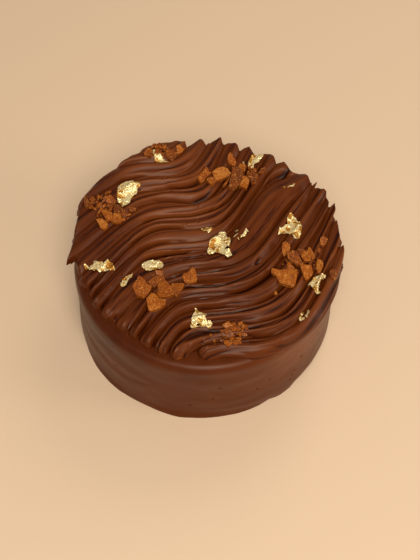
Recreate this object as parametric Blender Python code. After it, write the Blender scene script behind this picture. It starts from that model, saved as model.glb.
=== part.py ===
# A small round chocolate cake, uncut: a smooth spread side, a top of serrated
# piping that runs in one family of S curves, shards of praline crunch and
# crumpled leaves of gold.  The origin is on the cake's axis, at its base.
# Sizes in this file are millimetres, and the solids are written in metres.
# +X is the cake's right and -Y its front.

import math
import random

import bmesh
import bpy
from mathutils import Matrix, Vector
from mathutils.bvhtree import BVHTree

METRE = 0.001           # one millimetre in metres
GAP = 0.32              # free space between pieces that touch

# Body: sponge and filling under a coat of spread icing
BODY_RADIUS = 80.0
BODY_TOP = 57.0         # smooth top, under the piping
SHOULDER = 5.0          # rounding from the side to the top
FOOT_INSET = 0.9        # the icing's edge where it meets the base
BODY_SEGMENTS = 72
FOOT_HEIGHT = 1.4
SIDE_RINGS = (0.25, 0.5, 0.75)          # shares of the straight side
SHOULDER_TURNS = (0.0, 30.0, 60.0, 90.0)    # degrees
SPREAD_WAVE = 0.45      # how far the spread side wanders in and out
# Waves of the side: share, waves around, twist with the height, phase
SIDE_WAVES = ((0.55, 2.0, 0.0, 0.7), (0.45, 5.0, 1.0 / 17.0, 0.0), (0.35, 9.0, -1.0 / 9.0, 1.3))

# Flow of the piping.  Each curve is named by its level, which is its Y where
# it crosses the calm middle of the top.  To the left it falls away steeply,
# to the right it climbs, and near the back rim it flattens out again.
FLOW_LEVELS = (-70.0, -35.0, 0.0, 35.0, 80.0)
LEFT_BEND_X = (-8.0, -20.0, -35.0, -39.0, -52.0)
RIGHT_BEND_X = (52.0, 38.0, 14.0, 3.0, -20.0)
RIM_BEND_X = (66.0, 64.0, 42.0, 31.0, 20.0)
LEFT_SLOPE = (2.6, 2.5, 1.7, 1.1, 0.9)
RIGHT_SLOPE = (1.6, 1.75, 2.1, 2.2, 2.3)
RIM_SLOPE = (2.5, 1.8, 0.55, 0.55, 0.55)
MIDDLE_SLOPE = 0.08
BEND_LENGTH = 6.0       # how gradually a curve turns
RIM_BEND_LENGTH = 5.0
SLOPE_SPAN = 1.0        # a curve's slope is taken over this length
SEARCH_ROUNDS = 6       # for the distance from one curve to another
SEARCH_STEP = 0.1

# Ribbons: each one fills the strip between two neighbouring grooves
GROOVE_LEVELS = (-70.0, -61.0, -50.5, -40.5, -31.0, -22.0, -12.5, -1.0,
                 8.0, 17.0, 26.5, 36.0, 47.0, 57.0, 68.0, 79.0)
START_LEVELS = (-70.0, -50.0, 40.0, 80.0)    # torn ends, at the right and the back
START_RADII = (78.0, 80.5, 80.5, 84.0)
END_LEVELS = (-70.0, -40.0, -5.0, 15.0, 40.0, 60.0)
END_RADII = (69.5, 71.0, 73.0, 77.0, 79.5, 84.0)
REAR_TURN = 120.0       # degrees: the piping stands higher at the rear left
REAR_RISE = 2.2
REAR_START = 45.0       # from this far out that way
REAR_RUN = 30.0
STATION_STEP = 6.2
WALK_STEP = 0.25
WALK_STARTS = range(-80, 81, 2)     # the one nearest the axis is taken
LOBE_SHARES = (0.45, 0.8, 1.0)  # shorter steps where a lobe rounds off
# A section across a ribbon, from its upper groove to its lower one:
# fine ridges first, then one thick smooth rib
SECTION = ((-0.07, 0.9), (0.09, 4.6), (0.18, 3.9), (0.28, 5.0), (0.38, 4.3),
           (0.49, 5.2), (0.62, 6.3), (0.77, 6.9), (0.92, 5.5), (1.06, 1.3))
UNDERSIDE = 4.2         # how far a ribbon sinks into the body
UNDERSIDE_STEP = 0.11   # each ribbon sinks a little more than the one before
RIB_SWELL = 0.45        # slow swelling along a ribbon
SWELL_LENGTH = 13.0
SWELL_SHIFT = 2.4       # from ribbon to ribbon
RIB_FLOOR = 3.0         # only what rises over this swells
TIP_RISE = 2.4          # the torn ends curl up
# Underside: below which point of the section, and how thick at the torn end
FLOOR_PLACES = ((9, 0.96), (5, 3.2), (0, 0.96))
TIP_NARROWING = 0.16
TIP_LENGTH = 12.0
RIM_THICKNESS = 6.0     # where the piping bulges over the rim
RIM_START = 74.0        # from this radius its underside comes free
RIM_RUN = 4.5
TEETH_SHIFT = 3         # from ribbon to ribbon
TEETH = (0.0, 1.5, -0.8, 2.6, 0.2, 1.8, 4.2, 3.2, 1.0, -0.8)
LOBE_LENGTH = 5.5       # rounded end of a ribbon
LOBE_DROP = 4.2
LOBE_NARROWING = 0.58
LOBE_THINNING = 0.75
# At the right front the outermost ribbon spills over the shoulder and lies
# thinly against the side
SPILL_WIDTH = 18.0      # how many levels wider it gets
SPILL_X = 48.0          # from here to the right
SPILL_RUN = 30.0
SPILL_ANGLES = (-62.0, -50.0, -10.0, 6.0)   # degrees: starts, full, full, ends
SPILL_THINNING = 0.6
SPILL_THINNING_RUN = 8.0

# Praline shards: name, X, Y, length, width, turn in degrees
SHARD_THICKNESS = 2.6
SHARD_UNEVENNESS = (0.8, 1.15)  # of the thickness, from shard to shard
SHARD_CORNERS = (5, 5, 6)
SHARD_CORNER_TURN = 0.22        # share of a corner's angle
SHARD_CORNER_REACH = (1.0, 1.22)
SHARD_INSET = (0.86, 0.94)      # top face against the bottom face
SHARD_LEAN = 0.16
SHARD_CLEARING = 1.08           # area round a shard that must clear the icing
SHARD_FEELER = 0.35             # share of the length over which its tilt is felt
FEELER_REACH = 1.5
FEELER_STEP = 0.7
SHARDS = (
    ("crunch_front_1", -36.5, -30.0, 12.5, 10.0, -60.0),
    ("crunch_front_2", -28.5, -25.8, 10.0, 6.5, 10.0),
    ("crunch_front_3", -23.0, -33.0, 11.5, 8.5, 100.0),
    ("crunch_front_4", -15.5, -31.5, 10.5, 8.0, 75.0),
    ("crunch_front_5", -28.5, -40.0, 12.0, 9.5, 60.0),
    ("crunch_front_6", -8.5, -21.0, 9.5, 8.5, 60.0),
    ("crunch_right_1", 47.0, -22.5, 17.0, 10.5, -28.0),
    ("crunch_right_2", 61.0, -5.8, 11.0, 8.0, -60.0),
    ("crunch_right_3", 53.0, -7.5, 11.0, 8.5, 20.0),
    ("crunch_right_4", 60.0, -19.0, 11.5, 7.5, -70.0),
    ("crunch_right_5", 68.5, -13.5, 10.0, 5.5, 100.0),
    ("crunch_right_6", 76.0, -19.5, 7.5, 6.0, 90.0),
    ("crunch_right_7", 48.0, -1.8, 8.0, 6.0, -70.0),
    ("crunch_right_8", 70.5, 2.6, 11.5, 5.0, 48.0),
    ("crunch_back_1", -1.0, 55.3, 10.5, 7.0, 48.0),
    ("crunch_back_2", 11.5, 57.3, 12.0, 6.5, 25.0),
    ("crunch_back_3", 4.8, 51.6, 9.0, 6.0, 30.0),
    ("crunch_back_4", 19.0, 50.4, 14.0, 9.0, 65.0),
    ("crunch_back_5", 25.5, 47.6, 9.5, 5.5, 60.0),
    ("crunch_back_6", 30.8, 52.0, 8.5, 6.0, 45.0),
    ("crunch_back_7", 17.0, 67.0, 9.5, 5.5, 65.0),
    ("crunch_back_8", 22.0, 59.6, 10.5, 5.5, 20.0),
    ("crunch_left_1", -72.3, 33.0, 10.0, 4.6, 100.0),
    ("crunch_left_2", -58.5, 35.2, 8.5, 6.0, 40.0),
    ("crunch_left_3", -60.5, 23.5, 11.0, 6.0, 115.0),
    ("crunch_left_4", -53.8, 19.8, 9.5, 7.0, 120.0),
    ("crunch_left_5", -63.8, 15.8, 8.5, 6.0, 45.0),
    ("crunch_rear_1", -37.0, 72.0, 9.5, 6.0, 80.0),
    ("crunch_rear_2", -21.5, 69.0, 9.5, 7.5, 60.0),
    ("crunch_rear_3", -15.5, 74.6, 7.0, 5.0, 70.0),
    ("crunch_low_1", 13.5, -60.6, 8.0, 6.0, 10.0),
)

# Gold leaves: name, X, Y, length, width, turn in degrees
LEAF_THICKNESS = 0.5
LEAF_SPOKES = 9
LEAF_RINGS = (0.55, 1.0)
LEAF_RAGGEDNESS = (0.8, 1.15)
LEAF_CREASE = (0.15, 1.05)      # lift of its points over the gap
LEAF_FEELER = 2.6               # span of icing that each point bridges
LEAF_FEELER_SHARE = 0.55        # and at most this share of its width
LEAVES = (
    ("gold_leaf_1", 8.5, 1.8, 20.0, 13.0, 75.0),
    ("gold_leaf_2", 0.8, 13.6, 8.0, 4.0, -5.0),
    ("gold_leaf_3", 24.0, 10.6, 8.5, 2.8, 50.0),
    ("gold_leaf_4", 54.3, 15.0, 20.0, 9.5, 102.0),
    ("gold_leaf_5", 52.0, 48.0, 9.0, 2.8, 24.0),
    ("gold_leaf_6", -28.5, 70.0, 14.0, 6.5, -50.0),
    ("gold_leaf_7", 31.0, 66.8, 15.0, 7.0, 40.0),
    ("gold_leaf_8", -47.8, 40.6, 21.0, 13.0, 68.0),
    ("gold_leaf_9", -62.5, -13.4, 19.0, 7.0, -4.0),
    ("gold_leaf_10", -31.0, -13.0, 12.5, 8.0, 8.0),
    ("gold_leaf_11", -46.0, -23.0, 10.5, 5.0, 48.0),
    ("gold_leaf_12", -2.6, -47.0, 12.0, 10.0, 100.0),
    ("gold_leaf_13", 66.0, -25.0, 15.5, 7.0, 48.0),
    ("gold_leaf_14", 57.0, -47.0, 9.5, 4.0, 60.0),
)

# Crumbs of the same praline, scattered round the clusters and fused to the
# icing: X, Y, spread of the cluster, how many
CRUMB_CLUSTERS = (
    (-27.0, -20.0, 9.0, 5),
    (-65.0, 35.0, 8.0, 9),
    (-51.0, 27.0, 6.0, 4),
    (-29.0, 76.0, 7.0, 6),
    (27.0, 58.0, 8.0, 6),
    (53.0, -13.0, 8.0, 5),
    (41.0, -33.0, 2.0, 1),
    (16.0, -57.0, 9.5, 11),
)
CRUMB_SIZE = (1.5, 2.6)
CRUMB_RAGGEDNESS = (0.75, 1.15)
CRUMB_CORNERS = (4, 5)
CRUMB_WAIST = 0.35      # height of the widest part over the icing
CRUMB_PEAK = 0.55       # share of its size
CRUMB_ROOT = 1.6        # depth under the icing
CRUMB_SKEW = 0.2        # share of its size
CRUMB_MARGIN = 0.8      # free of the shards and leaves
CRUMB_SEED = 11
SHARD_SEED = 5
LEAF_SEED = 23


# ---------------------------------------------------------------- helpers

def blend(value, stations, targets):
    # Straight-line blend between hand-set stations, flat beyond both ends
    if value <= stations[0]:
        return targets[0]
    for left, right, low, high in zip(stations, stations[1:], targets, targets[1:]):
        if value <= right:
            return low + (high - low) * (value - left) / (right - left)
    return targets[-1]


def ease(value):
    # Smooth step from 0 to 1
    value = min(max(value, 0.0), 1.0)
    return value * value * (3.0 - 2.0 * value)


def ramp(value):
    # 0 on the left, rising to value on the right, with a soft corner
    if value > 30.0:
        return value
    return math.log1p(math.exp(value))


def make_object(name, points, faces, material):
    mesh = bpy.data.meshes.new(name)
    mesh.from_pydata([Vector(point) * METRE for point in points], [], faces)
    part = bpy.data.objects.new(name, mesh)
    bpy.context.scene.collection.objects.link(part)
    mesh.materials.append(material)
    return part


def make_material(name, colour, roughness, metallic):
    material = bpy.data.materials.new(name)
    material.use_nodes = True
    shader = material.node_tree.nodes["Principled BSDF"]
    shader.inputs["Base Color"].default_value = (*colour, 1.0)
    shader.inputs["Roughness"].default_value = roughness
    shader.inputs["Metallic"].default_value = metallic
    material.diffuse_color = (*colour, 1.0)
    return material


# ------------------------------------------------------------------- body

def side_wander(angle, height):
    # Slow waves that a palette knife leaves in the icing
    wave = sum(share * math.sin(waves * angle + twist * height + phase)
               for share, waves, twist, phase in SIDE_WAVES)
    return SPREAD_WAVE * wave


def body_profile():
    # Radius and height up the side and over the shoulder
    profile = [(BODY_RADIUS - FOOT_INSET, 0.0), (BODY_RADIUS, FOOT_HEIGHT)]
    straight = BODY_TOP - SHOULDER
    profile += [(BODY_RADIUS, straight * share) for share in SIDE_RINGS]
    for degrees in SHOULDER_TURNS:
        turn = math.radians(degrees)
        profile.append((BODY_RADIUS - SHOULDER * (1.0 - math.cos(turn)),
                        straight + SHOULDER * math.sin(turn)))
    return profile


def make_body(material):
    profile = body_profile()
    points = []
    for radius, height in profile:
        for step in range(BODY_SEGMENTS):
            angle = 2.0 * math.pi * step / BODY_SEGMENTS
            fade = 1.0 - ease((height - BODY_TOP + SHOULDER) / SHOULDER)
            reach = radius + side_wander(angle, height) * fade
            points.append((reach * math.cos(angle), reach * math.sin(angle), height))
    faces = []
    for ring in range(len(profile) - 1):
        for step in range(BODY_SEGMENTS):
            after = (step + 1) % BODY_SEGMENTS
            low = ring * BODY_SEGMENTS
            high = low + BODY_SEGMENTS
            faces.append((low + step, low + after, high + after, high + step))
    faces.append(tuple(range(BODY_SEGMENTS))[::-1])
    top = (len(profile) - 1) * BODY_SEGMENTS
    faces.append(tuple(range(top, top + BODY_SEGMENTS)))
    return make_object("cake", points, faces, material)


# ----------------------------------------------------------------- piping

def flow_y(x, level):
    left_x = blend(level, FLOW_LEVELS, LEFT_BEND_X)
    right_x = blend(level, FLOW_LEVELS, RIGHT_BEND_X)
    rim_x = blend(level, FLOW_LEVELS, RIM_BEND_X)
    left_slope = blend(level, FLOW_LEVELS, LEFT_SLOPE)
    right_slope = blend(level, FLOW_LEVELS, RIGHT_SLOPE)
    rim_slope = blend(level, FLOW_LEVELS, RIM_SLOPE)
    y = level + MIDDLE_SLOPE * (x - (left_x + right_x) / 2.0)
    y += (right_slope - MIDDLE_SLOPE) * BEND_LENGTH * ramp((x - right_x) / BEND_LENGTH)
    y -= (left_slope - MIDDLE_SLOPE) * BEND_LENGTH * ramp((left_x - x) / BEND_LENGTH)
    y += (rim_slope - right_slope) * RIM_BEND_LENGTH * ramp((x - rim_x) / RIM_BEND_LENGTH)
    return y


def flow_direction(x, level):
    # Unit direction along the curve, towards the torn end
    half = SLOPE_SPAN / 2.0
    slope = (flow_y(x + half, level) - flow_y(x - half, level)) / SLOPE_SPAN
    length = math.hypot(1.0, slope)
    return 1.0 / length, slope / length


def reach_across(x, y, normal, level):
    # Distance from (x, y) along the normal to the curve of that level
    distance = 0.0
    for _ in range(SEARCH_ROUNDS):
        beyond = distance + SEARCH_STEP
        miss = flow_y(x + normal[0] * distance, level) - (y + normal[1] * distance)
        miss_beyond = flow_y(x + normal[0] * beyond, level) - (y + normal[1] * beyond)
        distance -= miss * SEARCH_STEP / (miss_beyond - miss)
    return distance


def walk(x, level, limit, sense):
    # Fine steps along a curve until it passes the limiting radius
    path = []
    while True:
        y = flow_y(x, level)
        if math.hypot(x, y) > limit:
            return path
        path.append((x, y))
        x += sense * WALK_STEP * flow_direction(x, level)[0]


def ribbon_path(level):
    # X and length of each station, from the torn end to the rounded one
    inner = min(WALK_STARTS, key=lambda x: math.hypot(x, flow_y(x, level)))
    path = walk(inner, level, blend(level, START_LEVELS, START_RADII), 1)[::-1]
    path += walk(inner, level, blend(level, END_LEVELS, END_RADII), -1)[1:]
    total = (len(path) - 1) * WALK_STEP
    spans = round((total - LOBE_LENGTH) / STATION_STEP)
    lengths = [(total - LOBE_LENGTH) * span / spans for span in range(spans + 1)]
    lengths += [total - LOBE_LENGTH * (1.0 - share) for share in LOBE_SHARES]
    return [path[round(length / WALK_STEP)][0] for length in lengths], lengths


def spill(x, y):
    # 1 where the piping hangs over the shoulder, 0 where it stands clear
    angle = math.degrees(math.atan2(y, x))
    first, full, last, gone = SPILL_ANGLES
    return ease((angle - first) / (full - first)) * (1.0 - ease((angle - last) / (gone - last)))


def lay(x, y, rise):
    # Place of a point of the piping that rises this far over the body.  Where
    # it spills, plan distance past the shoulder runs on down the side.
    turn = math.radians(REAR_TURN)
    rearward = x * math.cos(turn) + y * math.sin(turn) - REAR_START
    if rise > 0.0:
        rise += REAR_RISE * ease(rearward / REAR_RUN)
    straight = Vector((x, y, BODY_TOP + rise))
    reach = math.hypot(x, y)
    past = reach - BODY_RADIUS + SHOULDER
    share = spill(x, y)
    if share == 0.0 or past <= 0.0:
        return straight
    if rise > 0.0:
        rise *= 1.0 - SPILL_THINNING * share * ease(past / SPILL_THINNING_RUN)
    turn = min(past / SHOULDER, math.pi / 2.0)
    down = max(past - SHOULDER * math.pi / 2.0, 0.0)
    out = (BODY_RADIUS - SHOULDER + (SHOULDER + rise) * math.sin(turn)) / reach
    height = BODY_TOP - SHOULDER + (SHOULDER + rise) * math.cos(turn) - down
    return straight.lerp(Vector((x * out, y * out, height)), share)


def ribbon_station(number, x, along, total):
    # One closed section: its top from groove to groove, then its underside
    upper = GROOVE_LEVELS[number + 1]
    lower = GROOVE_LEVELS[number]
    level = (upper + lower) / 2.0
    if number == 0:
        lower -= SPILL_WIDTH * ease((x - SPILL_X) / SPILL_RUN)
    y = flow_y(x, level)
    direction = flow_direction(x, level)
    normal = (direction[1], -direction[0])
    to_upper = reach_across(x, y, normal, upper)
    to_lower = reach_across(x, y, normal, lower)
    tip = 1.0 - ease(along / TIP_LENGTH)
    from_end = min((total - along) / LOBE_LENGTH, 1.0)
    lobe = math.sqrt(max(1.0 - (1.0 - from_end) ** 2, 0.0))
    width = (1.0 - TIP_NARROWING * tip) * (1.0 - LOBE_NARROWING * (1.0 - lobe))
    swell = RIB_SWELL * math.sin(along / SWELL_LENGTH + SWELL_SHIFT * number)
    plans = []
    top_points = []
    for place, (share, rise) in enumerate(SECTION):
        across = to_upper + (to_lower - to_upper) * (0.5 + (share - 0.5) * width)
        height = rise + swell * (rise > RIB_FLOOR) + TIP_RISE * tip - LOBE_DROP * (1.0 - lobe)
        forward = TEETH[(place + TEETH_SHIFT * number) % len(TEETH)] * (along == 0.0)
        plan = (x + normal[0] * across + direction[0] * forward,
                y + normal[1] * across + direction[1] * forward)
        plans.append(plan)
        top_points.append(lay(*plan, height))
    floor_points = []
    for place, tip_thickness in FLOOR_PLACES:
        point = top_points[place]
        thickness = tip_thickness + (RIM_THICKNESS - tip_thickness) * (1.0 - tip)
        thickness *= 1.0 - LOBE_THINNING * (1.0 - lobe)
        over_rim = ease((math.hypot(*plans[place]) - RIM_START) / RIM_RUN)
        over_rim *= 1.0 - spill(*plans[place])
        sunk = lay(*plans[place], -UNDERSIDE - UNDERSIDE_STEP * number)
        floor_points.append(sunk.lerp(point - Vector((0.0, 0.0, thickness)), over_rim))
    return top_points + floor_points


def make_ribbon(number, material):
    level = (GROOVE_LEVELS[number] + GROOVE_LEVELS[number + 1]) / 2.0
    stations, lengths = ribbon_path(level)
    points = []
    for x, along in zip(stations, lengths):
        points += ribbon_station(number, x, along, lengths[-1])
    count = len(SECTION) + len(FLOOR_PLACES)
    faces = []
    for station in range(len(stations) - 1):
        for place in range(count):
            after = (place + 1) % count
            near = station * count
            far = near + count
            faces.append((near + place, far + place, far + after, near + after))
    faces.append(tuple(range(count)))
    faces.append(tuple(range(len(points) - count, len(points)))[::-1])
    return make_object("ribbon_%02d" % number, points, faces, material)


# ----------------------------------------------------------------- crumbs

def clear_of_toppings(x, y, margin):
    for _, shard_x, shard_y, length, width, _ in SHARDS:
        if math.hypot(x - shard_x, y - shard_y) < (length + width) / 4.0 + margin:
            return False
    for _, leaf_x, leaf_y, length, width, _ in LEAVES:
        if math.hypot(x - leaf_x, y - leaf_y) < (length + width) / 4.0 + margin:
            return False
    return True


def make_crumbs(surface, material):
    # Small angular bits, half sunk in the icing
    draw = random.Random(CRUMB_SEED)
    crumbs = []
    for centre_x, centre_y, spread, count in CRUMB_CLUSTERS:
        for _ in range(count):
            turn = draw.uniform(0.0, 2.0 * math.pi)
            far = spread * math.sqrt(draw.random())
            size = draw.uniform(*CRUMB_SIZE)
            x = centre_x + far * math.cos(turn)
            y = centre_y + far * math.sin(turn)
            corners = draw.choice(CRUMB_CORNERS)
            reaches = [size * draw.uniform(*CRUMB_RAGGEDNESS) for _ in range(corners)]
            if not clear_of_toppings(x, y, size + CRUMB_MARGIN):
                continue
            z = surface.height(x, y)
            if z is None:
                continue
            points = []
            waist = z + CRUMB_WAIST
            for corner, reach in enumerate(reaches):
                angle = turn + 2.0 * math.pi * corner / corners
                points.append((x + reach * math.cos(angle), y + reach * math.sin(angle), waist))
            points.append((x + CRUMB_SKEW * size, y, waist + CRUMB_PEAK * size))
            points.append((x, y - CRUMB_SKEW * size, z - CRUMB_ROOT))
            faces = []
            for corner in range(corners):
                after = (corner + 1) % corners
                faces.append((corner, after, corners))
                faces.append((after, corner, corners + 1))
            crumbs.append(make_object("crumb_%02d" % len(crumbs), points, faces, material))
    return crumbs


# --------------------------------------------------------- settled toppings

class Surface:
    # Height of what has been laid so far, looked up from above
    def __init__(self):
        self.layers = []

    def add(self, part):
        mesh = part.data
        points = [vertex.co / METRE for vertex in mesh.vertices]
        faces = [tuple(face.vertices) for face in mesh.polygons]
        self.layers.append(BVHTree.FromPolygons(points, faces))

    def height(self, x, y):
        found = None
        for layer in self.layers:
            hit = layer.ray_cast(Vector((x, y, 200.0)), Vector((0.0, 0.0, -1.0)))[0]
            if hit is not None and (found is None or hit.z > found):
                found = hit.z
        return found

    def highest(self, x, y, reach):
        # Highest point within a small square round (x, y)
        steps = (-1.0, -0.5, 0.0, 0.5, 1.0)
        found = [self.height(x + reach * a, y + reach * b) for a in steps for b in steps]
        return max([height for height in found if height is not None], default=BODY_TOP)


def tilt_of(surface, x, y, reach):
    # Slope of the icing under a shard, so that the shard lies along it
    east = surface.highest(x + reach, y, FEELER_REACH) - surface.highest(x - reach, y, FEELER_REACH)
    north = surface.highest(x, y + reach, FEELER_REACH) - surface.highest(x, y - reach, FEELER_REACH)
    return Vector((-east, -north, 2.0 * reach)).normalized()


def inside(outline, x, y):
    # Whether a point lies in a convex outline that runs anticlockwise
    for near, far in zip(outline, outline[1:] + outline[:1]):
        if (far[0] - near[0]) * (y - near[1]) - (far[1] - near[1]) * (x - near[0]) < 0.0:
            return False
    return True


def make_shard(surface, name, x, y, length, width, turn, draw, material):
    corners = draw.choice(SHARD_CORNERS)
    start = draw.uniform(0.0, 1.0)
    outline = []
    for corner in range(corners):
        shift = draw.uniform(-SHARD_CORNER_TURN, SHARD_CORNER_TURN)
        angle = 2.0 * math.pi * (corner + start + shift) / corners
        reach = draw.uniform(*SHARD_CORNER_REACH)
        outline.append((length / 2.0 * reach * math.cos(angle), width / 2.0 * reach * math.sin(angle)))
    thickness = SHARD_THICKNESS * draw.uniform(*SHARD_UNEVENNESS)
    inset = draw.uniform(*SHARD_INSET)
    lean = Vector((draw.uniform(-SHARD_LEAN, SHARD_LEAN), draw.uniform(-SHARD_LEAN, SHARD_LEAN), 1.0))
    upward = (tilt_of(surface, x, y, length * SHARD_FEELER) + lean).normalized()
    place = upward.to_track_quat("Z", "Y").to_matrix() @ Matrix.Rotation(math.radians(turn), 3, "Z")
    points = [place @ Vector((a, b, 0.0)) for a, b in outline]
    points += [place @ Vector((a * inset, b * inset, thickness)) for a, b in outline]
    lift = -math.inf
    span = int(length) + 1
    cleared = [(a * SHARD_CLEARING, b * SHARD_CLEARING) for a, b in outline]
    for across in range(-span, span + 1):
        for up in range(-span, span + 1):
            a, b = across * FEELER_STEP, up * FEELER_STEP
            if not inside(cleared, a, b):
                continue
            under = place @ Vector((a, b, 0.0))
            height = surface.height(x + under.x, y + under.y)
            if height is not None:
                lift = max(lift, height - under.z)
    for corner in points[:corners]:
        height = surface.height(x + corner.x, y + corner.y)
        if height is not None:
            lift = max(lift, height - corner.z)
    points = [point + Vector((x, y, lift + GAP)) for point in points]
    faces = [tuple(range(corners))[::-1], tuple(range(corners, 2 * corners))]
    for corner in range(corners):
        after = (corner + 1) % corners
        faces.append((corner, after, corners + after, corners + corner))
    shard = make_object(name, points, faces, material)
    surface.add(shard)
    return shard


def make_leaf(surface, name, x, y, length, width, turn, draw, material):
    # A crumpled leaf: rings of points round its middle, draped over the
    # ribs, with its two faces split alike
    turned = Matrix.Rotation(math.radians(turn), 2)
    edge = [draw.uniform(*LEAF_RAGGEDNESS) for _ in range(LEAF_SPOKES)]
    flat = [Vector((0.0, 0.0))]
    for share in LEAF_RINGS:
        for spoke in range(LEAF_SPOKES):
            angle = 2.0 * math.pi * spoke / LEAF_SPOKES
            reach = share * edge[spoke]
            flat.append(turned @ Vector((length / 2.0 * reach * math.cos(angle),
                                         width / 2.0 * reach * math.sin(angle))))
    low = []
    for point in flat:
        lift = GAP + draw.uniform(*LEAF_CREASE)
        feeler = min(LEAF_FEELER, LEAF_FEELER_SHARE * width)
        height = surface.highest(x + point.x, y + point.y, feeler)
        low.append((x + point.x, y + point.y, height + lift))
    points = low + [(a, b, c + LEAF_THICKNESS) for a, b, c in low]
    count = len(low)
    faces = []
    for spoke in range(LEAF_SPOKES):
        after = (spoke + 1) % LEAF_SPOKES
        inner, inner_after = 1 + spoke, 1 + after
        outer, outer_after = inner + LEAF_SPOKES, inner_after + LEAF_SPOKES
        for corners in ((0, inner, inner_after), (inner, outer, outer_after),
                        (inner, outer_after, inner_after)):
            faces.append(tuple(corner + count for corner in corners))
            faces.append(corners[::-1])
        faces.append((outer, outer_after, outer_after + count))
        faces.append((outer, outer_after + count, outer + count))
    leaf = make_object(name, points, faces, material)
    surface.add(leaf)
    return leaf


# ------------------------------------------------------------------- union

def fuse(part, pieces, solver):
    # One union of the part with all the pieces, which are then removed
    group = bpy.data.collections.new("pieces")
    bpy.context.scene.collection.children.link(group)
    for piece in pieces:
        bpy.context.scene.collection.objects.unlink(piece)
        group.objects.link(piece)
    union = part.modifiers.new("union", "BOOLEAN")
    union.operation = "UNION"
    union.operand_type = "COLLECTION"
    union.collection = group
    union.solver = solver
    bpy.context.view_layer.update()
    evaluated = part.evaluated_get(bpy.context.evaluated_depsgraph_get())
    fused = bpy.data.meshes.new_from_object(evaluated)
    part.modifiers.clear()
    part.data = fused
    for piece in pieces:
        bpy.data.objects.remove(piece)
    bpy.data.collections.remove(group)
    keep_largest(part)


def keep_largest(part):
    # Drops loose scraps and the skins of hollows that the union sealed
    work = bmesh.new()
    work.from_mesh(part.data)
    waiting = set(work.verts)
    largest = set()
    while waiting:
        reached = {waiting.pop()}
        edge = list(reached)
        while edge:
            for link in edge.pop().link_edges:
                for vertex in link.verts:
                    if vertex in waiting:
                        waiting.remove(vertex)
                        reached.add(vertex)
                        edge.append(vertex)
        if len(reached) > len(largest):
            largest = reached
    scraps = [vertex for vertex in work.verts if vertex not in largest]
    bmesh.ops.delete(work, geom=scraps, context="VERTS")
    bmesh.ops.triangulate(work, faces=work.faces)
    work.to_mesh(part.data)
    work.free()


def main():
    for old in list(bpy.data.objects):
        bpy.data.objects.remove(old, do_unlink=True)
    icing = make_material("chocolate_icing", (0.130, 0.026, 0.0045), 0.42, 0.0)
    praline = make_material("praline", (0.45, 0.140, 0.018), 0.42, 0.0)
    gold = make_material("gold_leaf", (0.95, 0.74, 0.32), 0.35, 0.6)

    cake = make_body(icing)
    ribbons = [make_ribbon(number, icing) for number in range(len(GROOVE_LEVELS) - 1)]
    fuse(cake, ribbons, "MANIFOLD")
    bare = Surface()
    bare.add(cake)
    fuse(cake, make_crumbs(bare, icing), "MANIFOLD")

    surface = Surface()
    surface.add(cake)
    draw = random.Random(SHARD_SEED)
    for name, x, y, length, width, turn in SHARDS:
        make_shard(surface, name, x, y, length, width, turn, draw, praline)
    draw = random.Random(LEAF_SEED)
    for name, x, y, length, width, turn in LEAVES:
        make_leaf(surface, name, x, y, length, width, turn, draw, gold)


main()
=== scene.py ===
import math

import bpy
import numpy as np
from mathutils import Matrix, Vector
from mathutils.bvhtree import BVHTree


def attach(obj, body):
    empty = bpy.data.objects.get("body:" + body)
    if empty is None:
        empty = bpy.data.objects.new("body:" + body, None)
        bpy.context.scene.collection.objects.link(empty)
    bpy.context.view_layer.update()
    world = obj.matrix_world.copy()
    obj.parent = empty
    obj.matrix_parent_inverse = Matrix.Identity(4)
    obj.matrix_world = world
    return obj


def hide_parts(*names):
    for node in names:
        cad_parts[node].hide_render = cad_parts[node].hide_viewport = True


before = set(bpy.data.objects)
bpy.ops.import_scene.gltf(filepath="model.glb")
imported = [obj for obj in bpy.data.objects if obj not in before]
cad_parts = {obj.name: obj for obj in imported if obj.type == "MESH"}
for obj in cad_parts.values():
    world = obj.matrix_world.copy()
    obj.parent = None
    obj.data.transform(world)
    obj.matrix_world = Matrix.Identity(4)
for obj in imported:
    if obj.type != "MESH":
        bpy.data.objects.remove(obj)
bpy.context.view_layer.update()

mm = 0.001                # sizes below are millimetres
root = "root"


# small helpers

def ease(value):
    value = np.clip(value, 0.0, 1.0)
    return value * value * (3.0 - 2.0 * value)


def mix(low, high, share):
    return low + (high - low) * share


def makeNoise(seed):
    # smooth lattice noise between -1 and 1, the same each run
    lattice = np.random.default_rng(seed).uniform(-1.0, 1.0, (64, 64))

    def noise(x, y=0.0):
        x, y = np.broadcast_arrays(np.asarray(x, float), np.asarray(y, float))
        left, low = np.floor(x).astype(int), np.floor(y).astype(int)
        across, up = ease(x - left), ease(y - low)
        a, b = left % 64, low % 64
        c, d = (left + 1) % 64, (low + 1) % 64
        near = mix(lattice[a, b], lattice[c, b], across)
        far = mix(lattice[a, d], lattice[c, d], across)
        return mix(near, far, up)

    return noise


def makeMesh(name, points, faces, grain=None):
    # points in millimetres; grain is a pattern coordinate for each point, whose third value holds painted
    # shade and light
    mesh = bpy.data.meshes.new(name)
    mesh.from_pydata((np.asarray(points) * mm).tolist(), [], faces)
    if grain is not None:
        attribute = mesh.attributes.new("grain", "FLOAT_VECTOR", "POINT")
        attribute.data.foreach_set("vector", np.asarray(grain, np.float32).ravel())
    piece = bpy.data.objects.new(name, mesh)
    bpy.context.scene.collection.objects.link(piece)
    return piece


def gridFaces(rows, columns, wrap):
    # quads over a grid of points laid row by row
    faces = []
    for row in range(rows - 1):
        for column in range(columns if wrap else columns - 1):
            after = (column + 1) % columns
            near, far = row * columns, (row + 1) * columns
            faces.append((near + column, far + column, far + after, near + after))
    return faces


def dress(piece, material):
    piece.data.materials.clear()
    piece.data.materials.append(material)
    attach(piece, root)


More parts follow.
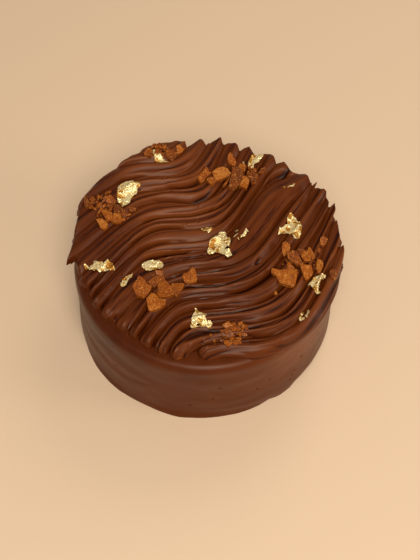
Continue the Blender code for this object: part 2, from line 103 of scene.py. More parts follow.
def smoothLine(points, blur=2.2):
    # a drawn line with its corners rounded: second value at each first one
    place = np.arange(-180.0, 180.01, 0.5)
    value = np.interp(place, *zip(*points))
    reach = np.arange(-8.0, 8.01, 0.5)
    weight = np.exp(-0.5 * (reach / blur) ** 2)
    padded = np.pad(value, len(reach) // 2, mode="edge")
    return place, np.convolve(padded, weight / weight.sum(), mode="valid")


def alongLine(line, place):
    return np.interp(place, *line)


def strokeHeight(stroke, x, level, fade):
    # low ridge or dent along a line: height, half width, points of the line
    high, halfWide, points = stroke
    first, last = points[0][0], points[-1][0]
    away = (level - alongLine(smoothLine(points), x)) / halfWide
    share = 1.0
    if fade:
        share = ease((x - first) / fade + 0.5) * ease((last - x) / fade + 0.5)
    return high * share * np.exp(-away ** 2)


def withExtras(places, extras, spread):
    # denser stations round small details
    offsets = np.array([-1.0, -0.6, -0.3, 0.0, 0.3, 0.6, 1.0]) * spread
    added = [extra + offsets for extra in extras if places[0] + spread < extra < places[-1] - spread]
    merged = np.sort(np.concatenate([places, *added]))
    keep = np.concatenate([[True], np.diff(merged) > 0.15 * spread])
    keep[-1] = True
    return merged[keep]


# flow of the piping: curves named by the Y where they cross the calm middle

flowStyle = {
    "levels": (-70.0, -35.0, 0.0, 35.0, 80.0),
    "leftBendX": (-8.0, -20.0, -35.0, -39.0, -52.0),
    "rightBendX": (52.0, 38.0, 14.0, 3.0, -20.0),
    "rimBendX": (66.0, 64.0, 42.0, 31.0, 20.0),
    "leftSlope": (2.6, 2.5, 1.7, 1.1, 0.9),
    "rightSlope": (1.6, 1.75, 2.1, 2.2, 2.3),
    "rimSlope": (2.5, 1.8, 0.55, 0.55, 0.55),
    "middleSlope": 0.08,
    "bendLength": 6.0,
    "rimBendLength": 5.0,
    "meander": 0.2,           # small wandering of the hand
    "calm": (-3.0, 6.0, 26.0),            # from this level, fading in over, half length
    "broad": (-4.5, 5.0, 12.0, 8.0),      # level, half width, from x, fading in over
    "combed": (-2.0, 8.0, 12.0),          # from this level, fading in over, length
}
meanderNoise = makeNoise(3)


def atLevel(level, key):
    return np.interp(level, flowStyle["levels"], flowStyle[key])


def softRamp(value):
    return np.logaddexp(0.0, value)


def flowY(x, level):
    leftX, rightX, rimX = (atLevel(level, key) for key in ("leftBendX", "rightBendX", "rimBendX"))
    leftSlope, rightSlope, rimSlope = (
        atLevel(level, key) for key in ("leftSlope", "rightSlope", "rimSlope"))
    calm, bend, rimBend = (flowStyle[key] for key in ("middleSlope", "bendLength", "rimBendLength"))
    y = level + calm * (x - (leftX + rightX) / 2.0)
    y = y + (rightSlope - calm) * bend * softRamp((x - rightX) / bend)
    y = y - (leftSlope - calm) * bend * softRamp((leftX - x) / bend)
    y = y + (rimSlope - rightSlope) * rimBend * softRamp((x - rimX) / rimBend)
    return y + flowStyle["meander"] * meanderNoise(x / 14.0, level / 9.0)


def flowDirection(x, level):
    slope = (flowY(x + 0.4, level) - flowY(x - 0.4, level)) / 0.8
    length = np.hypot(1.0, slope)
    return 1.0 / length, slope / length


def reachAcross(x, y, normalX, normalY, level, distance):
    # distance along the normal to the curve of each level, from a first guess
    for _ in range(5):
        miss = flowY(x + normalX * distance, level) - (y + normalY * distance)
        nudged = distance + 0.05
        nudge = flowY(x + normalX * nudged, level) - (y + normalY * nudged)
        distance = distance - np.clip(miss * 0.05 / (nudge - miss), -6.0, 6.0)
    return distance


# grooves between the ribbons of piping, from the front to the back: x and
# level of points along each

grooveLines = [smoothLine(points) for points in (
    ((-10, -66), (0, -69), (10, -69.7), (20, -71), (28, -72.5), (36, -71.5), (46, -70), (60, -70)),
    ((-11, -60), (-5, -60.5), (5, -61.5), (15, -61.5), (27, -60.8), (33, -61.6), (45, -61.4), (55, -63),
     (80, -62)),
    ((-24, -51), (-20.5, -49), (-17, -46.8), (-8, -48), (0, -49.2), (15, -50), (25, -50.5), (33, -51.5),
     (46, -53), (60, -53.2), (70, -51), (78, -46.5)),
    ((-30, -37), (-27, -36.3), (-12, -37.8), (-4, -38.8), (5, -40), (18, -40), (33, -40.2), (50, -40.7),
     (62, -39.5), (75, -37)),
    ((-41, -25.5), (-37.5, -25.2), (-30, -27.5), (-15, -29.5), (-8, -31), (5, -31.8), (12, -31.7),
     (18, -31.5), (23, -31), (28, -30), (38, -30.2), (50, -31.5), (60, -31.8), (74, -31)),
    ((-46, -17.5), (-42, -17.5), (-35, -20), (-20, -21.5), (-4, -20.8), (5, -20.8), (12, -21),
     (20, -21.3), (28, -22), (38, -23.7), (46, -24.3), (60, -24), (67, -21.5)),
    ((-56, -6.5), (-51.5, -8), (-40, -11), (-28, -13.5), (-20, -13.8), (-10, -12.5), (8, -12.5),
     (14, -13.6), (20, -14.2), (26, -15), (31, -16), (38, -16.8), (44, -15.8), (52, -16.5), (60, -18)),
    ((-63, 2.2), (-58, 2), (-50, 3.5), (-42, 3.3), (-36, 2), (-30, 0.3), (-24, -0.8), (-12, -1.6),
     (0, -1.5), (10, -0.5), (17, 0), (24, 0.3), (30, 0.9), (36, 0.8), (42, -0.8), (50, -4), (60, -9)),
    ((-66, 11), (-50, 12), (-42, 11), (-38, 10), (-33, 9), (-28, 8.5), (-22, 7.8), (-14, 6.8), (-5, 6),
     (2, 5.8), (10, 5), (20, 4), (30, 3.8), (38, 4.5), (44, 5.9)),
    ((-60, 17), (-45, 17.5), (-38, 17.5), (-30, 18.8), (-20, 17.5), (-10, 15.5), (0, 14.5), (5, 13),
     (12, 11.3), (20, 10.6), (30, 11.5), (38, 14.5)),
    ((-60, 27), (-36, 27.8), (-32, 26.8), (-25, 26.3), (-18, 25.8), (-12, 25), (-8, 24.5), (-4, 24.3),
     (0, 24), (4, 23), (10, 20.5), (20, 18.5), (31, 22.5)),
    ((-60, 38), (-40, 39.5), (-30, 38.6), (-22, 38.2), (-14, 36), (-5, 33.5), (5, 31.5), (12, 31.5),
     (21, 35.2)),
    ((-60, 49), (-41, 49), (-35, 47.7), (-30, 47), (-22, 47.3), (-15, 46), (-8, 45), (0, 44),
     (5, 43.5), (11.5, 46.9)),
    ((-62, 62), (-55, 61.2), (-50, 60.5), (-45, 59.3), (-40, 58.3), (-35, 57.7), (-30, 57), (-25, 56.2),
     (-20, 55.3), (-10, 55.5), (0, 57.3)),
    ((-79, 63), (-72, 68), (-65, 70.8), (-53, 71.2), (-50, 69.8), (-43, 69), (-36, 67.6), (-28, 66.3),
     (-20, 66), (-12, 67)),
)]
grooveLines.append(smoothLine(((-60, 76), (-54, 75.8), (-50, 75.5), (-42, 76), (-40, 79.5), (-36, 80.8),
                               (-28, 80.4), (-23, 77.2), (-21, 76.8), (-18, 78.5), (-14, 78)), 0.8))
# places where a groove is cut deeper than the rest: number, from x, to x, depth
deepGrooves = (
    (7, -36, -11, 2.8), (10, -38, -4, 1.6), (10, -8, 10, 2.8), (4, 15, 42, 2.6), (3, -4, 12, 1.6),
    (3, 30, 50, 1.6), (2, -17, -3, 1.8), (2, 33, 60, 1.8), (1, 27, 40, 1.8), (13, -55, -38, 1.8),
    (12, -17, -3, 2.2), (5, -34, -20, 1.0), (6, 31, 56, 1.0), (11, -30, -4, 1.6), (11, -2, 14, 2.0),
    (8, -40, -22, 1.6), (9, -44, -14, 1.5), (12, -34, -16, 1.3), (9, 8, 34, 1.6), (8, 14, 40, 1.4),
    (10, 8, 30, 1.6),
)
# deep cuts away from the grooves: depth, half width, points
deepCuts = (
    (4.2, 1.5, ((11, 1.6), (17, 1.2), (22, 2.3), (28, 3.1), (33, 2.6), (38, 1.2), (43, -0.2), (52, -3.5))),
    (2.2, 1.2, ((-36, 27.4), (-26, 26.6), (-18, 25.7), (-10, 24.8), (-2, 24.5), (4, 23.5))),
    (1.8, 1.1, ((-7, 35), (-2, 34.2), (3, 34))),
    (1.6, 1.0, ((-29, 0.4), (-23, -0.4))),
    (1.4, 0.8, ((2, -53.5), (7, -55.2), (12, -56))),
    (1.5, 0.8, ((-22, -14.8), (-14, -16))),
    (1.3, 0.8, ((-38, 17.5), (-31, 17.7))),
)
# three fine ridges side by side on the broad ribbon that climbs to the back
combed = [
    (0.45, 0.45, [(x, round(level - 1.2 * turn, 1)) for x, level in (
        (18, -8.3), (25, -9.5), (31, -10.4), (37, -10.6), (44, -10.7), (50, -11.4), (56, -12.8))])
    for turn in range(3)]
# ridges of each ribbon, from the front to the back: height, half width, points;
# the first list runs the whole length, the second fades at its ends
crests = (
    (((2.3, 2.1, ((-3, -64), (8, -65.5), (20, -66.3), (28, -67.7), (38, -66.5), (50, -66), (70, -67))),),
     ((0.8, 0.9, ((5, -63), (50, -63.5))), (1.0, 1.1, ((55, -71.5), (66, -72), (84, -73))),
      (1.1, 1.2, ((58, -77.5), (68, -78), (86, -79))), (0.9, 1.2, ((62, -84), (72, -84.5), (88, -85))))),
    (((2.3, 1.7, ((-14, -54), (-8, -57.5), (5, -58.5), (27, -58), (35, -57.4), (45, -58), (56, -61),
                  (75, -59))),),
     ((1.2, 0.9, ((-12, -50), (-3, -51.5), (10, -53), (25, -54.2), (33, -53.2), (42, -53.7), (50, -55.3),
                  (70, -54))),)),
    (((2.4, 1.8, ((-16, -43.5), (-5, -45.5), (5, -47), (15, -47), (25, -46.6), (36, -46), (45, -47),
                  (55, -49), (78, -43))),),
     ((0.8, 0.6, ((-5, -42), (5, -43.4), (15, -43.8), (23, -42.6), (30, -42.2), (45, -42.8))),
      (0.7, 0.6, ((0, -41.2), (40, -41.5))), (-0.8, 0.7, ((2, -44.4), (12, -44.8), (20, -44))))),
    (((2.0, 2.2, ((-26, -33), (-10, -35.8), (0, -37), (10, -36.9), (20, -35.6), (30, -34.5), (42, -35.2),
                  (60, -36))),),
     ((0.7, 2.8, ((10, -36.5), (20, -35.3), (30, -34.5), (42, -35.2), (60, -36))),
      (0.8, 0.6, ((-12, -31.3), (-5, -32.7), (3, -33.6), (12, -33.6), (20, -32.5))),
      (0.6, 0.5, ((-14, -33), (-5, -34.6), (5, -35.4), (13, -34.9))))),
    (((2.2, 1.6, ((-34, -24), (-15, -27), (0, -28.3), (8, -28.5), (17, -27.3), (25, -26.8), (33, -28),
                  (48, -28.5), (72, -27.5))),),
     ((0.9, 0.6, ((-12, -23.2), (-5, -24), (3, -24.8), (10, -24.4))),
      (-1.0, 0.7, ((-6, -25.2), (3, -25.9), (10, -25.6), (18, -24.3), (25, -23.4), (38, -24))),
      (0.7, 0.7, ((28, -25.4), (50, -26.3))))),
    (((2.2, 1.7, ((-20, -18.5), (0, -19.2), (8, -19), (15, -18.3), (25, -18.4), (35, -19.8), (45, -20),
                  (66, -19))),),
     ((1.0, 0.8, ((3, -15.4), (12, -15.6), (20, -16), (28, -17.3))),
      (1.0, 1.6, ((31, -18.3), (42, -18.8))),
      (-0.9, 0.7, ((-22, -14.8), (-14, -16), (-4, -17), (3, -17), (9, -16.4))))),
    (((1.5, 1.6, ((-55, -2), (-40, -6), (-25, -10), (-8, -9.5), (3, -10.2), (12, -9.5), (18, -3.9),
                  (24, -4.3), (33, -5), (42, -6.5), (52, -10.5), (64, -14))),),
     ((0.7, 0.6, ((-26, -3), (0, -3.6))), (0.7, 0.6, ((-23, -5.2), (-12, -5.9), (0, -5.6))),
      (0.7, 0.6, ((-24, -7.2), (2, -7.9))), (1.0, 3.2, ((16, -3.5), (24, -4.3), (33, -5), (42, -6.5),
                                                      (52, -10.5), (64, -14))),
      (0.8, 1.2, ((3, -10.4), (12, -11.4), (20, -12.3))),
      (1.2, 1.7, ((16, -7.2), (24, -8.0), (33, -8.6), (42, -9.6), (52, -12.5))),
      *combed, (0.45, 0.45, ((22, -12.6), (31, -14.0), (37, -14.2), (44, -14.2), (50, -14.8),
                             (56, -16.2))))),
    ((),
     ((2.0, 1.8, ((-70, 7.5), (-55, 6.5), (-35, 5), (-20, 4), (-8, 3), (3, 2.5), (11, 3.0))),
      (0.9, 0.6, ((-36, 3.4), (-28, 2.1), (-20, 0.8), (-10, 0.2), (0, -0.4))))),
    (((1.6, 2.6, ((-45, 14), (-26, 12.5), (-12, 11.5), (-2, 10.5), (8, 9), (20, 7.5), (30, 7.2),
                  (42, 10))),),
     ((-1.0, 0.8, ((-17, 8), (-14, 7), (-12, 6.3))), (0.5, 0.6, ((-40, 16), (-20, 15.6), (-2, 13.4))))),
    (((1.3, 1.3, ((-50, 19.8), (-36, 20.8), (-30, 21.3), (-22, 19.9), (-14, 18.6), (-6, 17.6), (2, 16.8),
                  (10, 14.8), (20, 13.5))),),
     ((1.2, 0.9, ((-32, 25.2), (-24, 24.7), (-12, 23.5), (-2, 22.3), (5, 20.8), (12, 18.5))),)),
    (((1.5, 1.5, ((-50, 31), (-28, 30.8), (-20, 31), (-13, 30.3), (-3, 29.5), (6, 27.5), (15, 25),
                  (25, 22))),),
     ((0.8, 0.8, ((-28, 34), (-10, 33))), (0.5, 0.6, ((-46, 35.5), (-30, 36.2), (-14, 34.6))))),
    (((1.7, 1.6, ((-50, 41.5), (-34, 40.9), (-27, 42), (-20, 41.5), (-14, 40), (-8, 38.2), (0, 36.5),
                  (14, 38))),),
     ((1.2, 1.0, ((-24, 44.8), (-12, 43), (-5, 41))), (0.5, 0.6, ((-52, 45.5), (-30, 45), (-24, 44.8))))),
    (((1.8, 1.5, ((-42, 53.5), (-24, 52.2), (-16, 50.8), (-5, 49), (8, 50))),),
     ((1.3, 1.0, ((-24, 49.2), (-14, 48.3), (-4, 46.8))),
      (1.0, 0.9, ((-42, 57), (-35, 56.2), (-25, 54.5), (-12, 53.5))))),
    (((1.8, 2.2, ((-60, 65), (-45, 65), (-35, 64), (-25, 62.5), (-5, 61))),),
     ((1.0, 0.8, ((-28, 58.7), (-10, 57.5))), (0.5, 0.7, ((-60, 67.8), (-40, 67.6))))),
    (((1.3, 1.5, ((-54, 72.6), (-46, 72), (-36, 71.4), (-28, 70.4))),),
     ((0.9, 1.0, ((-54, 71.3), (-46, 70.8), (-36, 70), (-28, 69))),
      (0.8, 1.2, ((-52, 74.6), (-30, 75), (-20, 73))))),
)
# little holes of burst bubbles: x and level, depth
pits = (
    (-43, 16, 0.9), (-45.5, 21.5, 0.9), (-50, 16.3, 1.1), (-14, 18.2, 0.9), (-12, 18.3, 0.7),
    (-4, 18, 0.7), (-9.5, 34, 0.9), (-27, 53, 0.8), (-24.5, 53, 0.7), (-41, 49.8, 0.7),
    (-21.5, 44, 0.9), (-11, -59.2, 0.8), (-8.5, -58, 0.7), (-1, -60, 0.7), (30.8, -21.0, 1.8),
    (31.9, -21.6, 1.2), (-6.4, 30.2, 0.6), (-4.2, 29.4, 0.6), (-5.4, 31.2, 0.5),
)
# radius that the torn ends reach behind and at the right, by level
startOutline = (
    (-88, 83), (-69.9, 82), (-64.9, 82.7), (-62.2, 80.5), (-57.8, 81.8), (-48.6, 83.2), (-46.7, 80.9),
    (-44.4, 81.5), (-43.9, 84.3), (-39.7, 86.3), (-36.6, 81.3), (-34.8, 83.5), (-30.9, 84.9),
    (-29.6, 86.4), (-28.7, 86), (-23.2, 84.5), (-21.9, 82.4), (-21.1, 86), (-20.6, 81),
    (-18.5, 83), (-14.5, 84.6), (-12, 85), (-10.3, 84.6), (-5.2, 81.2), (-4.2, 81.4), (3.6, 84.6),
    (5.9, 80.8), (13.9, 86), (22.5, 80.2), (30.1, 85.4), (35.2, 80.6), (36.7, 82), (40.2, 85.2),
    (46.9, 83), (48.2, 83.6), (51.7, 87.9), (57.3, 81.1), (63.5, 86), (67.3, 80.6), (70.5, 84.6),
    (80.3, 89.1),
)
# radius that the rounded ends reach at the left and in front, by level
endOutline = (
    (-72, 76), (-67, 73), (-62.5, 68.7), (-60, 72.6), (-57.5, 76.2), (-49.5, 72.6), (-46.5, 74.8),
    (-37.1, 71.9), (-34.8, 75.2), (-25.4, 70.2), (-24.2, 73), (-17, 70.5), (-15.5, 73.3), (-6, 70),
    (-4, 74.9), (2.2, 72.2), (4.1, 75.9), (12, 73.5), (20.1, 75.3), (30, 76.4), (35.4, 77.5),
    (38.3, 78.3), (39.3, 83.2), (42.5, 81.2), (46, 80.2), (53.3, 80.9), (60, 82.4), (63.3, 84.6),
    (68, 86.2), (70, 86.6), (70.8, 83.6), (73, 85.2), (75.5, 86.6), (79, 88.6), (82, 91),
)

# body of the cake and the lie of the piping on it

bodyStyle = {
    "radius": 80.0,
    "top": 57.0,
    "shoulder": 5.0,
    "wander": 0.30,          # how far the side strays from round
    "columns": 300,
    "footRows": (0.0, 0.5, 1.1, 1.8),
    "wallRows": (2.6, 32),   # from this height up, how many
    "shoulderRows": 9,
    "topRings": (73.0, 71.0, 69.0, 66.5, 64.0, 60.0, 45.0, 25.0),
    "pitSpread": 0.9,        # closer rows round a bubble of the side
    "pitTurn": 0.013,        # and closer columns, in radians
    "unevenness": 0.13,      # soft dimples of the palette knife
    "bandShare": 0.55,       # of the heights of the side's bands
    "bandWidth": 1.5,        # times their half widths
    "bandFade": 16.0,        # degrees over which their ends fade out
    "tone": -0.08,
    "footAngles": (-180, -162, -153, -143, -130, -125, -114, -110, -101, -96, -88, -75, -70, -65, -60,
                   -55, -49, -42, -34, -23, 0, 90, 180),
    "footInsets": (0.4, 0.2, -0.5, -1.1, -1.2, -0.7, -0.5, -1.0, -1.8, -1.4, -0.9, -0.5, -0.1, 0.4, 1.2,
                   0.3, 0.4, 1.9, 2.5, 2.6, 1.5, 0.8, 0.4),
    "wallAngles": (-180, -165, -150, -130, -90, -60, -25, 0, 30, 90, 150, 180),
    "wallInsets": (1.3, 1.6, 1.5, 0.8, 0.4, 0.5, 0.9, 0.9, 0.7, 0.6, 0.9, 1.3),
    "wallStart": 5.0,
    "wallRun": 22.0,
    "footHeight": 6.0,
}
# painted light on the right of the side and painted shadow under the rounded ends at the front left:
# strength, angle, half width, from this height, over this run
sidePaintedLight = ((0.5, -42.0, 26.0, 12.0, 20.0), (-0.22, -138.0, 42.0, 24.0, 16.0))
# soft ledges and hollows of the side: height, half width, degrees and height
sideBands = (
    (0.55, 3.0, ((-175, 46), (-140, 47.5), (-120, 48), (-100, 52), (-75, 54), (-60, 51.5), (-40, 50),
                 (-25, 50))),
    (0.50, 2.6, ((-170, 31), (-143, 30), (-128, 30.5), (-112, 29))),
    (0.45, 2.2, ((-170, 19), (-143, 18), (-128, 17.5), (-112, 24))),
    (-0.45, 2.8, ((-170, 39), (-143, 40), (-128, 39), (-118, 37))),
    (-0.35, 2.4, ((-170, 25), (-143, 24), (-122, 24))),
    (-0.40, 3.2, ((-170, 9), (-143, 10), (-110, 10))),
    (-0.80, 4.0, ((-118, 35), (-111, 34), (-106, 33))),
    (0.35, 2.2, ((-100, 41), (-80, 39), (-60, 40))),
    (-0.35, 2.4, ((-98, 30), (-80, 31), (-62, 33))),
    (0.40, 2.6, ((-104, 18), (-80, 16), (-62, 18), (-44, 20))),
    (-0.5, 2.0, ((-88, 4), (-66, 4))),
    (0.4, 1.6, ((-86, 8), (-64, 8))),
    (0.45, 2.6, ((20, 46), (50, 44), (90, 47), (130, 45))),
    (-0.40, 3.0, ((15, 35), (60, 33), (100, 37), (140, 34))),
    (0.45, 2.6, ((10, 24), (50, 22), (90, 25), (150, 22))),
    (-0.35, 3.0, ((0, 12), (60, 11), (120, 13), (165, 10))),
    (0.40, 2.4, ((-10, 42), (10, 40), (24, 43))),
)
sidePits = (
    (-83.5, 34.5, 0.9), (-86.5, 22, 1.0), (-67, 23.5, 0.9), (-61, 28, 0.8), (-43, 28, 0.9),
    (-47, 19, 0.8), (-48.4, 16, 0.8), (-49.6, 12.5, 0.7), (-96, 14, 0.8), (-131, 27, 0.7),
    (-30, 30, 0.8), (20, 33, 0.9), (64, 20, 0.9), (97, 38, 0.8), (142, 26, 0.9), (171, 16, 0.8),
)
pipingStyle = {
    "spacing": 1.0,           # of the points that the ribbons are measured on
    "lineReach": 95.0,
    "step": 2.7,              # of the rows of points along a ribbon
    "across": 38,
    "acrossSpread": (-0.07, 1.13, 0.45),  # first share, span, closeness at the edges
    "tornStations": (9.0, 16),            # length at the torn end, rows in it
    "lobeRows": 12,
    "detailSpread": 1.1,
    "underside": 4.2,
    "undersideStep": 0.11,    # each ribbon a little deeper than the one before
    "rimThickness": 5.2,
    "overRim": (74.0, 4.5),   # radius from which a ribbon hangs free, run
    "lobeLength": 5.5,
    "lobeDrop": 4.0,
    "narrowing": 0.78,        # of the rounded ends that part like fingers
    "narrowLength": 6.5,
    "fingerLevels": (24.0, 6.0),          # up to this level, fading over this many
    "fingerStretch": 0.2,     # share of the stretch to the outline that is left there
    "stretchLength": 12.0,    # over which a line is drawn out to the outline
    "mostStretch": 7.0,
    # where the outermost ribbon runs down over the side
    "spillWidth": 18.0,
    "spillX": 48.0,
    "spillRun": 30.0,
    "spillAngles": (-62.0, -50.0, -10.0, 6.0),
    "spillThinning": 0.6,
    "spillThinRun": 8.0,
    # thinning of its lower edge: width at the left and right, from x, run
    "spillEdge": (2.0, 11.0, 34.0, 26.0),
    "spillEdgeStart": (18.0, 14.0),
    # the piping stands higher behind, in this direction
    "rearTurn": 120.0,
    "rearRise": 2.2,
    "rearStart": 45.0,
    "rearRun": 30.0,
    "lowestRise": 2.0,        # of a plain groove over the body
    "edgeRise": 2.0,          # from the groove up on to the ribbon
    # shift, width and power of the rounded step up from each groove
    "backEdge": (0.6, 3.2, 0.6),
    "frontEdge": (0.4, 2.4, 0.5),
    "diveSlopes": (1.2, 1.6),             # beyond the groove behind and the one in front
    "gapLength": 17.0,        # deep gaps between the rounded ends
    "gapDepth": 3.4,
    "gapWidth": 1.5,
    "gapLevels": (22.0, 32.0),
    "endSwelling": (0.9, 5.5, 2.8),       # height, from the end, half length
    "paintedShadeBlur": (6, 3.5),                 # columns beside a point, spread, for the painted shade
    "paintedShadeGains": (2.2, 0.5, 1.0),         # painted shade in the hollows, painted highlight on the crests and on the crests in the calm middle
    "paintedShadeRange": (-1.1, 0.8),
    # darker by this all over, lighter in the calm middle as painted sheen, darker in the
    # combed part as painted shade, lighter at the right
    "toneShifts": (0.07, 0.34, 0.16, 0.12),
}
ridgeStyle = {
    "fade": 6.0,              # length over which a short ridge fades out
    "cutFade": 5.0,           # and a cut
    "pitSize": 0.6,           # square of the half width of a burst bubble
    "shallow": (0.55, 0.5),   # share of the ridges and lift in the combed part
    "beads": 0.28,            # fine ridges along the flow
    "calmBeads": 0.12,
    "hairs": (0.10, 0.015),   # finest lines, in the bends and in the calm middle
    # height, height in the calm middle, length, width, shift of the noise
    "waves": ((0.30, 0.15, 17.0, 3.4, 30.0), (0.10, 0.05, 3.2, 1.6, 12.0)),
}
# the torn ends, by level
tipStyle = {
    "length": 12.0,
    "flattening": 0.82,
    "levels": (-66.0, -40.0, -20.0, -12.0, -8.0, 10.0, 40.0, 70.0),
    "lifts": (1.6, 2.4, 2.4, 2.4, 2.4, 2.2, 1.8, 1.0),
    "thicknesses": (0.7, 0.6, 0.7, 1.0, 1.8, 2.2, 2.4, 2.2),
    "droops": (0.0, 0.0, 0.2, 0.6, 0.8, 0.8, 0.8, 0.8),
    "droop": (3.6, 1.8),      # length and power
    "curl": (5.0, 1.5),
    # level, half width, rise of each curl
    "curls": ((-65.0, 2.4, 1.0), (-39.7, 2.4, 1.6), (-29.6, 1.8, 1.2), (-21.1, 0.9, 2.0)),
}


def spillShare(x, y):
    angle = np.degrees(np.arctan2(y, x))
    first, full, last, gone = pipingStyle["spillAngles"]
    return ease((angle - first) / (full - first)) * (1.0 - ease((angle - last) / (gone - last)))


def lay(x, y, rise):
    # place of points of the piping that rise this far over the body
    radius, top, shoulder = bodyStyle["radius"], bodyStyle["top"], bodyStyle["shoulder"]
    turn = math.radians(pipingStyle["rearTurn"])
    rearward = x * math.cos(turn) + y * math.sin(turn) - pipingStyle["rearStart"]
    rise = rise + (rise > 0.0) * pipingStyle["rearRise"] * ease(rearward / pipingStyle["rearRun"])
    straight = np.stack([x, y, top + rise], -1)
    reach = np.hypot(x, y)
    past = reach - radius + shoulder
    share = spillShare(x, y) * (past > 0.0)
    thin = 1.0 - pipingStyle["spillThinning"] * share * ease(past / pipingStyle["spillThinRun"])
    rise = np.where(rise > 0.0, rise * thin, rise)
    around = np.clip(past / shoulder, 0.0, math.pi / 2.0)
    down = np.maximum(past - shoulder * math.pi / 2.0, 0.0)
    out = (radius - shoulder + (shoulder + rise) * np.sin(around)) / reach
    height = top - shoulder + (shoulder + rise) * np.cos(around) - down
    wrapped = np.stack([x * out, y * out, height], -1)
    return mix(straight, wrapped, share[..., None])


def edgeLevels(number, x):
    # levels of the groove behind a ribbon and of the one in front of it
    front = alongLine(grooveLines[number], x)
    if number == 0:
        run = (x - pipingStyle["spillX"]) / pipingStyle["spillRun"]
        front = front - pipingStyle["spillWidth"] * ease(run)
    return alongLine(grooveLines[number + 1], x), front


def middleLevels(number, x):
    return (alongLine(grooveLines[number + 1], x) + alongLine(grooveLines[number], x)) / 2.0


def crossing(reach, inner, outline, step):
    # how many stations lie between the inner one and the outline
    past = reach[inner::step] > outline[inner::step]
    first = int(np.argmax(past))
    if not past.any():
        return float(len(past) - 1)
    near, far = reach[inner + (first - 1) * step], reach[inner + first * step]
    return first - 1 + np.clip((outline[inner + first * step] - near) / (far - near), 0.0, 1.0)


def cutPlaces(x, y, levels, spacing):
    # where one line of a ribbon meets the outlines of both its ends
    reach = np.hypot(x, y)
    inner = int(np.argmin(reach))
    start = np.interp(levels, *zip(*startOutline))
    end = np.interp(levels, *zip(*endOutline))
    before = crossing(reach, inner, start, -1)
    after = crossing(reach, inner, end, 1)
    return (inner - before) * spacing, (inner + after) * spacing


def centreLine(number, spacing):
    # middle of a ribbon, from beyond the rim at the right to beyond it at the left
    beyond = pipingStyle["lineReach"]
    x = np.arange(beyond + 1.0, -beyond - 1.0, -0.05)
    y = flowY(x, middleLevels(number, x))
    near = np.hypot(x, y) < beyond
    x, y = x[near], y[near]
    length = np.concatenate([[0.0], np.cumsum(np.hypot(np.diff(x), np.diff(y)))])
    places = np.arange(0.0, length[-1], spacing)
    return np.interp(places, length, x), np.interp(places, length, y)


def calmShare(x, levels):
    # the smooth middle between the two bends of the flow
    middle = (atLevel(levels, "leftBendX") + atLevel(levels, "rightBendX")) / 2.0
    fromLevel, run, half = flowStyle["calm"]
    return ease((levels - fromLevel) / run) * np.exp(-((x - middle) / half) ** 4)


def smoothShare(x, levels):
    # the broad ribbon that climbs to the back at the right
    level, half, fromX, run = flowStyle["broad"]
    broad = np.exp(-((levels - level) / half) ** 4) * ease((x - fromX) / run)
    return np.maximum(calmShare(x, levels), broad)


def flowingShare(x, levels):
    # the shallow combed part at the left
    fromLevel, run, length = flowStyle["combed"]
    return ease((levels - fromLevel) / run) * ease((atLevel(levels, "leftBendX") - x) / length)


def edgeCurve(away, curve):
    # rounded step from a groove up: shift, width and power
    shift, wide, power = curve
    return np.clip((away + shift) / wide, 0.0, 1.0) ** power


def sinkBetweenEnds(rise, number, places, total, x, levels):
    # deep gaps between the rounded ends, with a low swelling inside each
    upper, lower = edgeLevels(number, x)
    first, last = pipingStyle["gapLevels"]
    gap = (1.0 - ease((total - places) / pipingStyle["gapLength"]))[:, None]
    gap = gap * (1.0 - ease((levels - first) / (last - first)))
    for side in (upper, lower):
        beside = np.exp(-((levels - side) / pipingStyle["gapWidth"]) ** 2)
        rise = rise - pipingStyle["gapDepth"] * gap * beside
    high, fromEnd, wide = pipingStyle["endSwelling"]
    return rise + high * gap * np.exp(-((total - places[:, None] - fromEnd) / wide) ** 2)


def addRidges(rise, number, x, levels):
    # the ridges read from the photo, lower where the flow is shallow
    through, fading = crests[number]
    ridges = 0.0
    for stroke in through:
        ridges = ridges + strokeHeight(stroke, x, levels, 0.0)
    for stroke in fading:
        ridges = ridges + strokeHeight(stroke, x, levels, ridgeStyle["fade"])
    shallow = flowingShare(x, levels)
    low, lift = ridgeStyle["shallow"]
    return rise + ridges * mix(1.0, low, shallow) + lift * shallow


def addFineRidges(rise, number, places, x, levels, edge):
    # rounded beads along the flow that come and go, smoother in the calm middle
    beadNoise, slowNoise = makeNoise(50 + number), makeNoise(150 + number)
    s = places[:, None]
    calm = smoothShare(x, levels)
    warp = levels + 0.5 * slowNoise(s / 26.0, levels / 9.0 + number)
    size = ridgeStyle["beads"] * (1.0 + 0.9 * slowNoise(s / 18.0 + 9.0, levels / 2.3))
    size = size * mix(1.0, ridgeStyle["calmBeads"], calm)
    bead = 1.0 - 2.0 * np.abs(beadNoise(s / 38.0, warp / 0.95))
    rise = rise + size * np.clip(bead, -0.6, 1.0) * edge
    fine = 1.0 - 2.0 * np.abs(beadNoise(s / 20.0 + 31.0, warp / 0.5))
    rise = rise + mix(*ridgeStyle["hairs"], calm) * fine * edge
    for high, calmHigh, length, wide, shift in ridgeStyle["waves"]:
        rise = rise + mix(high, calmHigh, calm) * slowNoise(s / length, levels / wide + shift)
    return rise


def cutInto(rise, x, levels):
    # deeper stretches of grooves, cuts away from them and burst bubbles
    fade = ridgeStyle["cutFade"]
    for groove, fromX, toX, depth in deepGrooves:
        share = ease((x - fromX) / fade + 0.5) * ease((toX - x) / fade + 0.5)
        away = levels - alongLine(grooveLines[groove], x)
        rise = rise - depth * share * np.exp(-away ** 2)
    for depth, halfWide, points in deepCuts:
        rise = rise + strokeHeight((-depth, halfWide, points), x, levels, fade)
    for pitX, pitLevel, depth in pits:
        away = ((x - pitX) ** 2 + (levels - pitLevel) ** 2) / ridgeStyle["pitSize"]
        rise = rise - depth * np.exp(-away)
    return rise


